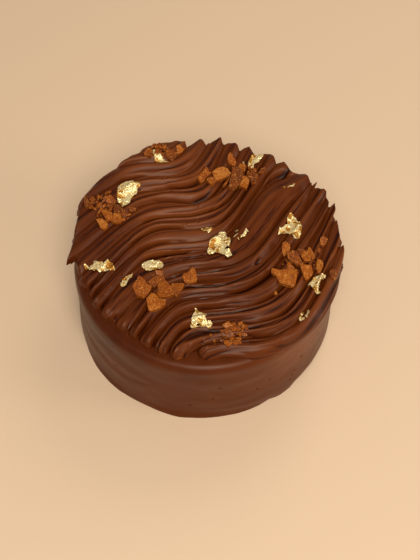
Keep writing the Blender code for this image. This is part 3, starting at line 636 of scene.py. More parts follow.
def ribbonRise(number, places, total, x, levels):
    # height of a ribbon over the body
    upper, lower = edgeLevels(number, x)
    edge = edgeCurve(upper - levels, pipingStyle["backEdge"])
    edge = edge * edgeCurve(levels - lower, pipingStyle["frontEdge"])
    rise = pipingStyle["lowestRise"] + pipingStyle["edgeRise"] * edge
    rise = sinkBetweenEnds(rise, number, places, total, x, levels)
    rise = addRidges(rise, number, x, levels)
    rise = addFineRidges(rise, number, places, x, levels, edge)
    rise = cutInto(rise, x, levels)
    if number == 0:
        # at the right the outermost ribbon thins out into the side
        narrow, broad, fromX, run = pipingStyle["spillEdge"]
        wide = mix(narrow, broad, ease((x - fromX) / run))
        thinned = edgeCurve(levels - lower, (0.3, wide, 0.75))
        fromX, run = pipingStyle["spillEdgeStart"]
        rise = rise * mix(1.0, thinned, ease((x - fromX) / run))
    # beyond its grooves a ribbon dives under its neighbours
    back, front = pipingStyle["diveSlopes"]
    dive = np.maximum(levels - upper, 0.0) * back + np.maximum(lower - levels, 0.0) * front
    return rise - dive


def acrossShares():
    # places across a ribbon, a little past both its grooves and closer together there
    even = np.linspace(0.0, 1.0, pipingStyle["across"])
    first, span, bend = pipingStyle["acrossSpread"]
    return first + span * mix(even, 0.5 - 0.5 * np.cos(math.pi * even), bend)


def ribbonPlan(number, share, x, y, fromEnd, fingered):
    # x, y and level of the ribbon's lines, narrowed to rounded ends where they part
    directionX, directionY = flowDirection(x, sum(edgeLevels(number, x)) / 2.0)
    normalX, normalY = directionY[:, None], -directionX[:, None]
    fromEnd = np.clip(fromEnd / pipingStyle["narrowLength"], 0.0, 1.0)
    roundness = np.sqrt(np.clip(1.0 - (1.0 - fromEnd) ** 2, 0.0, 1.0))
    wide = 1.0 - pipingStyle["narrowing"] * fingered * (1.0 - roundness)
    placed = 0.5 + (share[None, :] - 0.5) * wide[:, None]
    across = np.zeros(placed.shape)
    for _ in range(3):
        upper, lower = edgeLevels(number, x[:, None] + normalX * across)
        levels = mix(upper, lower, placed)
        across = reachAcross(x[:, None], y[:, None], normalX, normalY, levels, across)
    return x[:, None] + normalX * across, y[:, None] + normalY * across, levels


def ribbonStations(number, total, share, planX, start):
    # places along a ribbon, close together at both ends and at small details
    tornLength, tornRows = pipingStyle["tornStations"]
    lobe = pipingStyle["lobeLength"]
    torn = np.linspace(0.0, tornLength, tornRows, endpoint=False)
    rows = round((total - lobe - tornLength) / pipingStyle["step"])
    middle = np.linspace(tornLength, total - lobe, rows, endpoint=False)
    rounded = total - lobe * np.cos(np.linspace(0.0, math.pi / 2.0, pipingStyle["lobeRows"]))
    details = []
    for pitX, pitLevel, _ in pits:
        behind, front = edgeLevels(number, np.float64(pitX))
        if front < pitLevel < behind:
            column = int(np.argmin(np.abs(mix(behind, front, share) - pitLevel)))
            nearest = float(np.argmin(np.abs(planX[:, column] - pitX)))
            details.append(nearest * pipingStyle["spacing"] - start)
    return withExtras(np.concatenate([torn, middle, rounded]), details, pipingStyle["detailSpread"])


def stretchToOutline(plan, places, start, end, fingered):
    # points of the grid, with both ends of each line drawn out to the outlines
    spacing, most = pipingStyle["spacing"], pipingStyle["mostStretch"]
    total = end - start
    nearStart = 1.0 - ease(places / pipingStyle["stretchLength"])
    nearEnd = 1.0 - ease((total - places) / pipingStyle["stretchLength"])
    rows, columns = plan[0].shape
    dense = np.arange(rows) * spacing
    grid = np.zeros((3, len(places), columns))
    for column in range(columns):
        lines = [line[:, column] for line in plan]
        first, last = cutPlaces(*lines, spacing)
        early, late = np.clip(first - start, -most, most), np.clip(last - end, -most, most)
        late = late * mix(1.0, pipingStyle["fingerStretch"], fingered)
        at = start + places + early * nearStart + late * nearEnd
        for row, line in enumerate(lines):
            grid[row, :, column] = np.interp(at, dense, line)
    return grid


def paintedShadeAndSheen(rise, x, levels):
    # painted shade in the hollows and painted highlight on the crests: how far a point stands out from what
    # lies beside it, from dark to light
    wide, spread = pipingStyle["paintedShadeBlur"]
    padded = np.pad(rise, ((0, 0), (wide, wide)), mode="reflect", reflect_type="odd")
    weight = np.exp(-0.5 * (np.arange(-wide, wide + 1) / spread) ** 2)
    count = rise.shape[1]
    soft = sum(share * padded[:, place:place + count] for place, share in enumerate(weight / weight.sum()))
    calm = calmShare(x, levels)
    hollowShade, crestHighlight, calmCrestHighlight = pipingStyle["paintedShadeGains"]
    tone = (rise - soft) * np.where(rise < soft, hollowShade, mix(crestHighlight, calmCrestHighlight, calm))
    tone = np.clip(tone, *pipingStyle["paintedShadeRange"])
    # painted sheen in the calm middle and painted shade in the combed part
    shift, calmSheen, combedShade, ofRight = pipingStyle["toneShifts"]
    right = ease((x - 20.0) / 20.0)
    return tone + calmSheen * calm - shift - combedShade * flowingShare(x, levels) + ofRight * right


def shapeTornEnd(rise, places, levels, torn):
    # the torn end lifts, droops or curls up
    lifts = np.interp(levels, tipStyle["levels"], tipStyle["lifts"])
    droops = np.interp(levels, tipStyle["levels"], tipStyle["droops"])
    length, power = tipStyle["droop"]
    last = (np.clip(1.0 - places / length, 0.0, 1.0) ** power)[:, None]
    rise = rise * mix(1.0, tipStyle["flattening"], torn) + lifts * torn - droops * last
    length, power = tipStyle["curl"]
    last = (np.clip(1.0 - places / length, 0.0, 1.0) ** power)[:, None]
    for curlLevel, wide, high in tipStyle["curls"]:
        near = np.exp(-((levels - curlLevel) / wide) ** 2)
        rise = rise + high * near * last
    return rise


def ribbonUnderside(number, x, y, levels, top, share, torn, lobe):
    # sunk into the body, or hanging free where the ribbon reaches over the rim
    thin = np.interp(levels, tipStyle["levels"], tipStyle["thicknesses"])
    thickness = mix(pipingStyle["rimThickness"], thin, torn ** 0.6)
    thickness = thickness * mix(0.25, 1.0, lobe)
    bulge = np.sin(math.pi * np.clip(share, 0.02, 0.98))
    thickness = thickness * (0.35 + 0.65 * bulge)[None, :]
    rimStart, rimRun = pipingStyle["overRim"]
    overRim = ease((np.hypot(x, y) - rimStart) / rimRun) * (1.0 - spillShare(x, y))
    depth = -pipingStyle["underside"] - pipingStyle["undersideStep"] * number
    sunk = lay(x, y, np.full(x.shape, depth))
    hung = top - np.stack([0.0 * thickness, 0.0 * thickness, thickness], -1)
    return mix(sunk, hung, overRim[..., None])


def makeRibbon(number):
    spacing = pipingStyle["spacing"]
    x, y = centreLine(number, spacing)
    middle = middleLevels(number, x)
    start, end = cutPlaces(x, y, middle, spacing)
    total = end - start
    share = acrossShares()
    first, run = pipingStyle["fingerLevels"]
    fingered = 1.0 - ease((float(np.mean(middle[-12:])) - first) / run)
    plan = ribbonPlan(number, share, x, y, end - np.arange(len(x)) * spacing, fingered)
    places = ribbonStations(number, total, share, plan[0], start)
    x, y, levels = stretchToOutline(plan, places, start, end, fingered)
    rise = ribbonRise(number, places, total, x, levels)
    # painted shade in the hollows and painted highlight on the crests, carried as the third value of grain
    hollowShade = paintedShadeAndSheen(rise, x, levels)
    fromEnd = np.clip((total - places) / pipingStyle["lobeLength"], 0.0, 1.0)[:, None]
    lobe = np.sqrt(np.clip(1.0 - (1.0 - fromEnd) ** 2, 0.0, 1.0))
    # the rounded end sinks
    drop = pipingStyle["lobeDrop"] * (1.0 - lobe) * 0.7
    rise = rise * mix(0.6, 1.0, np.clip(lobe * 1.4, 0.0, 1.0)) - drop
    torn = (1.0 - ease(places / tipStyle["length"]))[:, None]
    rise = shapeTornEnd(rise, places, levels, torn)
    top = lay(x, y, rise)
    under = ribbonUnderside(number, x, y, levels, top, share, torn, lobe)
    rings = np.concatenate([top, under[:, ::-1]], 1)
    grain = np.stack([np.broadcast_to(places[:, None], levels.shape), levels, hollowShade], -1)
    grain = np.concatenate([grain, grain[:, ::-1]], 1)
    rows, columns = rings.shape[:2]
    faces = gridFaces(rows, columns, True)
    for corner, flip in ((0, False), ((rows - 1) * columns, True)):
        for place in range(len(share) - 1):
            corners = (corner + place, corner + place + 1,
                       corner + columns - 2 - place, corner + columns - 1 - place)
            faces.append(corners[::-1] if flip else corners)
    return makeMesh("ribbon", rings.reshape(-1, 3), faces, grain.reshape(-1, 3))


def sideOffset(angle, height):
    # how far the side stands out at an angle and height
    degrees = (np.degrees(angle) + 180.0) % 360.0 - 180.0
    waves = 0.6 * np.sin(2.0 * angle + 0.7) + 0.4 * np.sin(5.0 * angle + height / 17.0)
    offset = bodyStyle["wander"] * waves
    for high, halfWide, points in sideBands:
        wide = halfWide * bodyStyle["bandWidth"]
        high = high * bodyStyle["bandShare"]
        offset = offset + strokeHeight((high, wide, points), degrees, height, bodyStyle["bandFade"])
    for pitAngle, pitHeight, depth in sidePits:
        away = ((degrees - pitAngle) * 1.4) ** 2 + (height - pitHeight) ** 2
        offset = offset - depth * np.exp(-away / 0.7)
    wall = np.interp(degrees, bodyStyle["wallAngles"], bodyStyle["wallInsets"])
    offset = offset - wall * ease((height - bodyStyle["wallStart"]) / bodyStyle["wallRun"])
    inset = np.interp(degrees, bodyStyle["footAngles"], bodyStyle["footInsets"])
    return offset - inset * (1.0 - ease(height / bodyStyle["footHeight"])) ** 1.5


def bodyProfile():
    # radius, height and share of unevenness, from the foot to the middle of the top
    radius, top, shoulder = bodyStyle["radius"], bodyStyle["top"], bodyStyle["shoulder"]
    straight = top - shoulder
    wallFrom, wallRows = bodyStyle["wallRows"]
    heights = np.concatenate([bodyStyle["footRows"], np.linspace(wallFrom, straight, wallRows)])
    heights = withExtras(heights, [pit[1] for pit in sidePits], bodyStyle["pitSpread"])
    profile = [(radius, height, 1.0) for height in heights]
    for turn in np.linspace(0.0, math.pi / 2.0, bodyStyle["shoulderRows"])[1:]:
        profile.append((radius - shoulder + shoulder * math.sin(math.pi / 2.0 - turn),
                        straight + shoulder * math.sin(turn), math.cos(turn)))
    return profile + [(reach, top, 0.0) for reach in bodyStyle["topRings"]]


def makeBody():
    radius, top = bodyStyle["radius"], bodyStyle["top"]
    noise, dimples, lumps = makeNoise(7), makeNoise(8), makeNoise(9)
    angle = np.linspace(-math.pi, math.pi, bodyStyle["columns"] + 1)
    spread = bodyStyle["pitTurn"]
    angle = withExtras(angle, [math.radians(pit[0]) for pit in sidePits], spread)[:-1]
    columns = len(angle)
    period = 2.0 * math.pi * radius / 64.0
    arc = (angle + math.pi) * radius
    profile = bodyProfile()
    rows = []
    grains = []
    for reach, height, fade in profile:
        slant = height + 2.5 * np.sin(angle * 3.0 + 1.0) + 1.5 * np.sin(angle * 7.0)
        soft = dimples(arc / period, slant / 7.0) + 0.5 * dimples(arc / period * 2.0, slant / 3.3 + 20.0)
        small = 0.12 * lumps(arc / period * 4.0, slant / 1.7)
        offset = sideOffset(angle, height) + bodyStyle["unevenness"] * (soft + small)
        out = reach + offset * fade
        up = height + (height >= top) * 0.15 * noise(reach / 6.0 + 3.0, arc / period)
        up = np.broadcast_to(up, out.shape)
        rows.append(np.stack([out * np.cos(angle), out * np.sin(angle), up], -1))
        tone = bodyStyle["tone"]
        # painted light at the right and painted shadow under the rounded ends at the front left
        for strength, middle, wide, fromHeight, run in sidePaintedLight:
            turned = np.exp(-((np.degrees(angle) - middle) / wide) ** 2)
            tone = tone + strength * turned * ease((height - fromHeight) / run)
        grains.append(np.stack([arc, np.full(columns, height + (radius - reach)), tone], -1))
    count = len(profile)
    faces = [face[::-1] for face in gridFaces(count, columns, True)]
    faces.append(tuple(range(columns))[::-1])
    faces.append(tuple(range((count - 1) * columns, count * columns)))
    return makeMesh("icing", np.concatenate(rows), faces, np.concatenate(grains))


def fuse(body, parts):
    # one union of the body with all the parts, which are then removed
    group = bpy.data.collections.new("parts")
    bpy.context.scene.collection.children.link(group)
    for part in parts:
        bpy.context.scene.collection.objects.unlink(part)
        group.objects.link(part)
    union = body.modifiers.new("union", "BOOLEAN")
    union.operation = "UNION"
    union.operand_type = "COLLECTION"
    union.collection = group
    union.solver = "MANIFOLD"
    bpy.context.view_layer.update()
    shown = body.evaluated_get(bpy.context.evaluated_depsgraph_get())
    fused = bpy.data.meshes.new_from_object(shown)
    body.modifiers.clear()
    body.data = fused
    for part in parts:
        bpy.data.objects.remove(part)
    bpy.data.collections.remove(group)


# materials

def nodeTree(name):
    material = bpy.data.materials.new(name)
    material.use_nodes = True
    tree = material.node_tree
    return material, tree, tree.nodes["Principled BSDF"]


def addNode(tree, kind, **values):
    node = tree.nodes.new(kind)
    for key, value in values.items():
        if key in node.inputs:
            node.inputs[key].default_value = value
        else:
            setattr(node, key, value)
    return node


def addTexture(tree, kind, source, **values):
    node = addNode(tree, kind, **values)
    tree.links.new(source, node.inputs["Vector"])
    return node


def addNoise(tree, source, scale, detail, roughness):
    node = addTexture(tree, "ShaderNodeTexNoise", source, Scale=scale, Detail=detail, Roughness=roughness)
    return node.outputs["Fac"]


def addMath(tree, operation, *inputs):
    node = addNode(tree, "ShaderNodeMath", operation=operation)
    for place, value in enumerate(inputs):
        if isinstance(value, float):
            node.inputs[place].default_value = value
        else:
            tree.links.new(value, node.inputs[place])
    return node.outputs["Value"]


def mapRange(tree, value, fromLow, fromHigh, toLow, toHigh):
    node = addNode(tree, "ShaderNodeMapRange", **{
        "From Min": fromLow, "From Max": fromHigh, "To Min": toLow, "To Max": toHigh})
    tree.links.new(value, node.inputs["Value"])
    return node.outputs["Result"]


def paintOver(tree, base, colour, share):
    # a colour laid over another one by a share
    node = addNode(tree, "ShaderNodeMix", data_type="RGBA")
    node.inputs[7].default_value = (*colour, 1.0)
    tree.links.new(share, node.inputs[0])
    tree.links.new(base, node.inputs[6])
    return node.outputs[2]


def addBump(tree, height, bump, below=None):
    strength, distance = bump
    node = addNode(tree, "ShaderNodeBump", Strength=strength, Distance=distance)
    tree.links.new(height, node.inputs["Height"])
    if below is not None:
        tree.links.new(below, node.inputs["Normal"])
    return node.outputs["Normal"]


def colourRamp(tree, factor, finish):
    # the colours of a finish at the places its ramp names
    ramp = tree.nodes.new("ShaderNodeValToRGB")
    while len(ramp.color_ramp.elements) < len(finish["ramp"]):
        ramp.color_ramp.elements.new(0.5)
    for element, (place, colour) in zip(ramp.color_ramp.elements, finish["ramp"]):
        element.position = place
        element.color = (*finish[colour], 1.0)
    tree.links.new(factor, ramp.inputs["Fac"])
    return ramp.outputs["Color"]


icingFinish = {
    # from the deepest painted shadow in the grooves through painted shade in the hollows to painted
    # highlight on the crests
    "depth": (0.021, 0.0024, 0.0001),
    "hollowShade": (0.038, 0.0050, 0.0003),
    "dark": (0.0795, 0.0145, 0.0015),
    "light": (0.111, 0.0240, 0.0034),
    "crestHighlight": (0.157, 0.0385, 0.0075),
    "ramp": ((0.0, "depth"), (0.16, "hollowShade"), (0.38, "dark"), (0.64, "light"), (0.86, "crestHighlight")),
    "paintedShadeShare": 0.62,
    "cloudShare": 0.20,
    # scale, detail, roughness
    "streaks": (1.0, 3.0, 0.5),
    "cloud": (60.0, 4.0, 0.55),
    "pores": (900.0, 3.0, 0.55),
    "stretch": (0.05, 0.9, 1.0),          # of the streaks, along and across the flow
    # strength, distance
    "streakBump": (0.25, 0.00025),
    "poreBump": (0.10, 0.0003),
    "roughness": 0.38,
    "smoother": 0.05,                     # in the streaks
    "rougher": 0.09,
    "shine": 0.23,
    "shineTint": (1.0, 0.86, 0.73),
}


def makeIcingMaterial():
    # painted shade in the hollows and painted highlight on the crests, by the third value of grain
    material, tree, shader = nodeTree("chocolateIcing")
    finish = icingFinish
    grain = addNode(tree, "ShaderNodeAttribute", attribute_name="grain").outputs["Vector"]
    place = addNode(tree, "ShaderNodeTexCoord").outputs["Object"]
    stretched = addTexture(tree, "ShaderNodeMapping", grain, vector_type="POINT", Scale=finish["stretch"])
    streaks = addNoise(tree, stretched.outputs["Vector"], *finish["streaks"])
    cloud = addNoise(tree, place, *finish["cloud"])
    fine = addNoise(tree, place, *finish["pores"])
    split = addTexture(tree, "ShaderNodeSeparateXYZ", grain)
    share = finish["cloudShare"]
    softened = mapRange(tree, cloud, 0.0, 1.0, 0.5 - share, 0.5 + share)
    shadeAndCloud = addMath(tree, "MULTIPLY_ADD", split.outputs["Z"], finish["paintedShadeShare"], softened)
    tree.links.new(colourRamp(tree, shadeAndCloud, finish), shader.inputs["Base Color"])
    smooth, rough = finish["roughness"] - finish["smoother"], finish["roughness"] + finish["rougher"]
    tree.links.new(mapRange(tree, streaks, 0.0, 1.0, smooth, rough), shader.inputs["Roughness"])
    lines = addBump(tree, streaks, finish["streakBump"])
    pores = addBump(tree, fine, finish["poreBump"], lines)
    tree.links.new(pores, shader.inputs["Normal"])
    shader.inputs["Specular IOR Level"].default_value = finish["shine"]
    shader.inputs["Specular Tint"].default_value = (*finish["shineTint"], 1.0)
    return material


pralineFinish = {
    "brown": (0.13, 0.030, 0.005),
    "deep": (0.25, 0.056, 0.003),
    "amber": (0.325, 0.088, 0.005),
    "pale": (0.46, 0.170, 0.032),
    "speck": (0.14, 0.032, 0.005),
    "paintedGlints": (0.66, 0.30, 0.075),
    "ramp": ((0.22, "brown"), (0.42, "deep"), (0.58, "amber"), (0.80, "pale")),
    # scale, detail, roughness
    "cloud": (520.0, 6.0, 0.72),
    "specks": (1500.0, 2.0, 0.5),
    "paintedGlintNoise": (1150.0, 1.0, 0.5),
    # from, to, weakest, strongest
    "speckRange": (0.60, 0.68, 0.0, 1.0),
    "paintedGlintRange": (0.58, 0.70, 0.0, 0.55),
    "grainScale": 1700.0,
    "grainBump": (0.35, 0.0003),
    "roughness": 0.40,
    "shine": 0.22,
}


def makePralineMaterial():
    # caramel with grains: colour from a soft noise and the tone of each piece, with pale specks painted as
    # glints
    material, tree, shader = nodeTree("praline")
    finish = pralineFinish
    tone = addNode(tree, "ShaderNodeAttribute", attribute_name="tone").outputs["Fac"]
    place = addNode(tree, "ShaderNodeTexCoord").outputs["Object"]
    shifted = addMath(tree, "ADD", addNoise(tree, place, *finish["cloud"]), tone)
    colour = colourRamp(tree, shifted, finish)
    specks = addNoise(tree, place, *finish["specks"])
    colour = paintOver(tree, colour, finish["speck"], mapRange(tree, specks, *finish["speckRange"]))
    # pale specks painted as glints on the grains
    paintedGlints = addNoise(tree, place, *finish["paintedGlintNoise"])
    colour = paintOver(tree, colour, finish["paintedGlints"], mapRange(tree, paintedGlints, *finish["paintedGlintRange"]))
    tree.links.new(colour, shader.inputs["Base Color"])
    grains = addTexture(tree, "ShaderNodeTexVoronoi", place, Scale=finish["grainScale"], feature="F1")
    bump = addBump(tree, grains.outputs["Distance"], finish["grainBump"])
    tree.links.new(bump, shader.inputs["Normal"])
    shader.inputs["Roughness"].default_value = finish["roughness"]
    shader.inputs["Specular IOR Level"].default_value = finish["shine"]
    return material


goldFinish = {
    "pale": (1.0, 0.85, 0.46),
    "yellow": (0.94, 0.63, 0.19),
    "deep": (0.42, 0.18, 0.018),
    "ramp": ((0.38, "deep"), (0.52, "yellow"), (0.63, "pale")),
    "cloud": (420.0, 6.0, 0.72),
    "crinkleShadeScale": 520.0,
    "crinkleShadeRange": (0.0, 0.12, 0.62, 0.0),
    "wrinkleScale": 850.0,
    "wrinkleBump": (0.9, 0.0005),
    "roughness": 0.30,
    "metallic": 0.5,
}


def makeGoldMaterial():
    # foil: painted shade in its folds and along fine crinkle lines, lighter on its raised creases
    material, tree, shader = nodeTree("goldLeaf")
    finish = goldFinish
    fold = addNode(tree, "ShaderNodeAttribute", attribute_name="tone").outputs["Fac"]
    place = addNode(tree, "ShaderNodeTexCoord").outputs["Object"]
    shade = addMath(tree, "ADD", addNoise(tree, place, *finish["cloud"]), fold)
    # painted shade along fine crinkle lines
    crinkleShadeLines = addTexture(tree, "ShaderNodeTexVoronoi", place, Scale=finish["crinkleShadeScale"],
                        feature="DISTANCE_TO_EDGE")
    thin = mapRange(tree, crinkleShadeLines.outputs["Distance"], *finish["crinkleShadeRange"])
    colour = paintOver(tree, colourRamp(tree, shade, finish), finish["deep"], thin)
    tree.links.new(colour, shader.inputs["Base Color"])
    wrinkles = addTexture(tree, "ShaderNodeTexVoronoi", place, Scale=finish["wrinkleScale"], feature="F1")
    bump = addBump(tree, wrinkles.outputs["Distance"], finish["wrinkleBump"])
    tree.links.new(bump, shader.inputs["Normal"])
    shader.inputs["Roughness"].default_value = finish["roughness"]
    shader.inputs["Metallic"].default_value = finish["metallic"]
    return material


def makePlainMaterial(name, colour, roughness):
    material, _, shader = nodeTree(name)
    shader.inputs["Base Color"].default_value = (*colour, 1.0)
    shader.inputs["Roughness"].default_value = roughness
    return material


def makeIcing():
    icing = makeBody()
    fuse(icing, [makeRibbon(number) for number in range(len(grooveLines) - 1)])
    icing.data.shade_smooth()
    icing.data.set_sharp_from_angle(angle=math.radians(62.0))
    dress(icing, makeIcingMaterial())
    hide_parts("cake")
    print("icing made,", len(icing.data.polygons), "faces")
    return icing


# toppings: outlines seen from above, drawn at one height; a piece that lies
# lower is slid back along the line of sight of the drawing

toppingStyle = {
    "drawnAt": 65.0,
    "slide": 0.667,
    "cell": 0.42,             # between the points of the foil
    "brittleCell": 0.34,      # and of the brittle
    "brittleShare": 0.72,     # of the thickness given with each outline
    "brittleRows": 4,         # up its broken sides
    "slant": 0.05,
    "grainHeight": 0.10,      # of the grainy face
    "brokenEdge": (0.14, 0.25),           # drop and half width
    "swelling": 0.20,         # of the broken sides
    "toneSpread": (-0.26, 0.16),
    "shardSink": 0.7,
    "bitSink": 0.6,
    "bitTilt": (0.0, 0.06),
    "brittleSharp": 40.0,     # degrees between faces
    "foilSharp": 38.0,
    "foilThickness": 0.12,
    "foilSoftening": 14,      # rounds of smoothing where foil bridges hollows
}


def insideOutline(x, y, outline):
    inside = np.zeros(np.shape(x), bool)
    for (x0, y0), (x1, y1) in zip(outline, outline[1:] + outline[:1]):
        straddles = (y0 > y) != (y1 > y)
        span = y1 - y0 if y1 != y0 else 1.0
        inside ^= straddles & (x < (x1 - x0) * (y - y0) / span + x0)
    return inside


def nearestOnOutline(x, y, outline):
    best = np.full(np.shape(x), 1e9)
    nearX, nearY = np.array(x, float), np.array(y, float)
    for (x0, y0), (x1, y1) in zip(outline, outline[1:] + outline[:1]):
        length = (x1 - x0) ** 2 + (y1 - y0) ** 2
        share = np.clip(((x - x0) * (x1 - x0) + (y - y0) * (y1 - y0)) / max(length, 1e-9), 0.0, 1.0)
        footX, footY = x0 + share * (x1 - x0), y0 + share * (y1 - y0)
        away = np.hypot(x - footX, y - footY)
        closer = away < best
        best = np.where(closer, away, best)
        nearX, nearY = np.where(closer, footX, nearX), np.where(closer, footY, nearY)
    return nearX, nearY, best


def makeGround(icing):
    # height of the icing under any x and y
    tree = BVHTree.FromPolygons([tuple(v.co / mm) for v in icing.data.vertices],
                                [tuple(p.vertices) for p in icing.data.polygons])

    def ground(x, y):
        hit = tree.ray_cast(Vector((float(x), float(y), 90.0)), Vector((0.0, 0.0, -1.0)))[0]
        return bodyStyle["top"] if hit is None or hit.z < 40.0 else hit.z

    return ground


def slideBack(outline, ground, thickness):
    # moves an outline to where its top would be seen at its real height
    middle = np.mean(outline, 0)
    height = ground(*middle) + thickness
    for _ in range(3):
        lift = (toppingStyle["drawnAt"] - height) * toppingStyle["slide"]
        height = ground(middle[0], middle[1] + lift) + thickness
    return [(x, y + lift) for x, y in outline]


def restingPlane(outline, ground, tilt):
    # plane a stiff piece rests on, over the high places of the icing
    xs, ys = np.array(outline).T
    middleX, middleY = xs.mean(), ys.mean()
    gridX, gridY = np.meshgrid(np.linspace(xs.min(), xs.max(), 9), np.linspace(ys.min(), ys.max(), 9))
    inside = insideOutline(gridX, gridY, outline)
    placeX = np.concatenate([gridX[inside], xs, [middleX]])
    placeY = np.concatenate([gridY[inside], ys, [middleY]])
    heights = np.array([ground(x, y) for x, y in zip(placeX, placeY)])
    system = np.stack([placeX - middleX, placeY - middleY, np.ones(len(placeX))], 1)
    slopeX, slopeY, _ = np.linalg.lstsq(system, heights, rcond=None)[0]
    slopeX, slopeY = slopeX * 0.7 + tilt[0], slopeY * 0.7 + tilt[1]
    over = heights - slopeX * (placeX - middleX) - slopeY * (placeY - middleY)
    level = float(np.percentile(over, 75))
    return lambda x, y: level + slopeX * (x - middleX) + slopeY * (y - middleY)


def addTone(mesh, tones):
    attribute = mesh.attributes.new("tone", "FLOAT", "POINT")
    tones = np.broadcast_to(np.asarray(tones, np.float32), len(mesh.vertices))
    attribute.data.foreach_set("value", tones.copy())


def tonedMesh(name, points, faces, tones):
    # a mesh without an object, to be joined with others
    piece = makeMesh(name, points, faces)
    mesh = piece.data
    bpy.data.objects.remove(piece)
    addTone(mesh, tones)
    return mesh


def patchGrid(outline, cell):
    # square meshes that fill an outline, with their border pulled onto it
    xs, ys = np.array(outline).T
    lineX = np.arange(xs.min() - 2.0 * cell, xs.max() + 2.0 * cell, cell)
    lineY = np.arange(ys.min() - 2.0 * cell, ys.max() + 2.0 * cell, cell)
    x, y = (grid.T.copy() for grid in np.meshgrid(lineX, lineY))
    kept = insideOutline(x[:-1, :-1] + cell / 2.0, y[:-1, :-1] + cell / 2.0, outline)
    around = np.zeros(x.shape)
    for across in (0, 1):
        for up in (0, 1):
            around[across:x.shape[0] - 1 + across, up:x.shape[1] - 1 + up] += kept
    nearX, nearY, away = nearestOnOutline(x, y, outline)
    edge = (around > 0) & (around < 4)
    pull = edge & (away < cell * 0.9)
    x, y = np.where(pull, nearX, x), np.where(pull, nearY, y)
    for cornerX, cornerY in outline:
        gap = np.where(pull, np.hypot(x - cornerX, y - cornerY), 1e9)
        place = np.unravel_index(np.argmin(gap), gap.shape)
        if gap[place] < cell * 0.75:
            x[place], y[place] = cornerX, cornerY
            pull[place] = False
    return x, y, kept, around > 0, np.where(edge, 0.0, away)


def closePatch(x, y, top, low, kept, used, rows, swell):
    # closes a patch with an underside and a wall of that many rows
    number = -np.ones(x.shape, int)
    number[used] = np.arange(used.sum())
    count = int(used.sum())
    points = [np.stack([x[used], y[used], top[used]], 1), np.stack([x[used], y[used], low[used]], 1)]
    faces = []
    borders = {}
    for across, up in zip(*np.nonzero(kept)):
        turns = ((0, 0), (1, 0), (1, 1), (0, 1))
        corners = tuple(int(number[across + right, up + behind]) for right, behind in turns)
        faces.append(corners)
        faces.append(tuple(corner + count for corner in reversed(corners)))
        for near, far in zip(corners, corners[1:] + corners[:1]):
            if (far, near) in borders:
                del borders[(far, near)]
            else:
                borders[(near, far)] = True
    rims = sorted({corner for pair in borders for corner in pair})
    levels = {rim: [rim] for rim in rims}
    middle = np.mean(points[0][rims], 0) if rims else np.zeros(3)
    total = 2 * count
    for row in range(1, rows):
        share = row / rows
        ring = points[0][rims] * (1.0 - share) + points[1][rims] * share
        out = ring[:, :2] - middle[:2]
        out /= np.maximum(np.hypot(out[:, 0], out[:, 1]), 1e-6)[:, None]
        ring[:, :2] += out * swell(ring)[:, None]
        points.append(ring)
        for place, rim in enumerate(rims):
            levels[rim].append(total + place)
        total += len(rims)
    for rim in rims:
        levels[rim].append(rim + count)
    for near, far in borders:
        for row in range(rows):
            below = row + 1
            faces.append((levels[far][row], levels[near][row], levels[near][below], levels[far][below]))
    return np.concatenate(points), faces, rims


def brittleMesh(outlines, ground, thickness, tilt, seed, tone, sink):
    # flat plates with broken edges and a grainy face, one solid for each outline
    meshes = []
    thickness = thickness * toppingStyle["brittleShare"]
    for place, outline in enumerate(outlines):
        outline = slideBack(outline, ground, thickness * 0.5)
        plane = restingPlane(outline, ground, tilt)
        draw = np.random.default_rng(seed * 31 + place)
        grain, lump, patch = (makeNoise(seed * 97 + place * 13 + turn) for turn in range(3))
        x, y, kept, used, away = patchGrid(outline, toppingStyle["brittleCell"])
        if not used.any():
            continue
        base = plane(x, y)
        slant = draw.uniform(-toppingStyle["slant"], toppingStyle["slant"], 2)
        middleX, middleY = np.mean(outline, 0)
        top = base + thickness * draw.uniform(0.85, 1.1)
        top += slant[0] * (x - middleX) + slant[1] * (y - middleY)
        high = toppingStyle["grainHeight"]
        fromEdge = np.clip(away / 0.3, 0.3, 1.0)
        top += high * lump(x / 3.2, y / 3.2) + high * grain(x / 0.7, y / 0.7) * fromEdge
        drop, wide = toppingStyle["brokenEdge"]
        top -= drop * np.exp(-(away / wide) ** 2)
        low = base - sink

        def swell(ring):
            waves = lump(ring[:, 0] / 1.2 + 30.0, ring[:, 2] / 0.9 + ring[:, 1] / 1.2)
            return toppingStyle["swelling"] * waves

        rows = toppingStyle["brittleRows"]
        points, faces, rims = closePatch(x, y, top, low, kept, used, rows, swell)
        tones = 0.10 * patch(x / 3.0, y / 3.0) + 0.08 * grain(x / 0.7, y / 0.7)
        tones = tones[used] + tone + draw.uniform(*toppingStyle["toneSpread"])
        sides = np.full(len(rims) * (rows - 1), tone - 0.05)
        meshes.append(tonedMesh("plate", points, faces, np.concatenate([tones, tones, sides])))
    return meshes


def joinMeshes(name, meshes):
    points, faces, tones, count = [], [], [], 0
    for mesh in meshes:
        points.extend(tuple(vertex.co) for vertex in mesh.vertices)
        faces.extend(tuple(corner + count for corner in face.vertices) for face in mesh.polygons)
        tones.extend(value.value for value in mesh.attributes["tone"].data)
        count = len(points)
    joined = bpy.data.meshes.new(name)
    joined.from_pydata(points, [], faces)
    addTone(joined, tones)
    for mesh in meshes:
        bpy.data.meshes.remove(mesh)
    piece = bpy.data.objects.new(name, joined)
    bpy.context.scene.collection.objects.link(piece)
    joined.shade_smooth()
    return piece


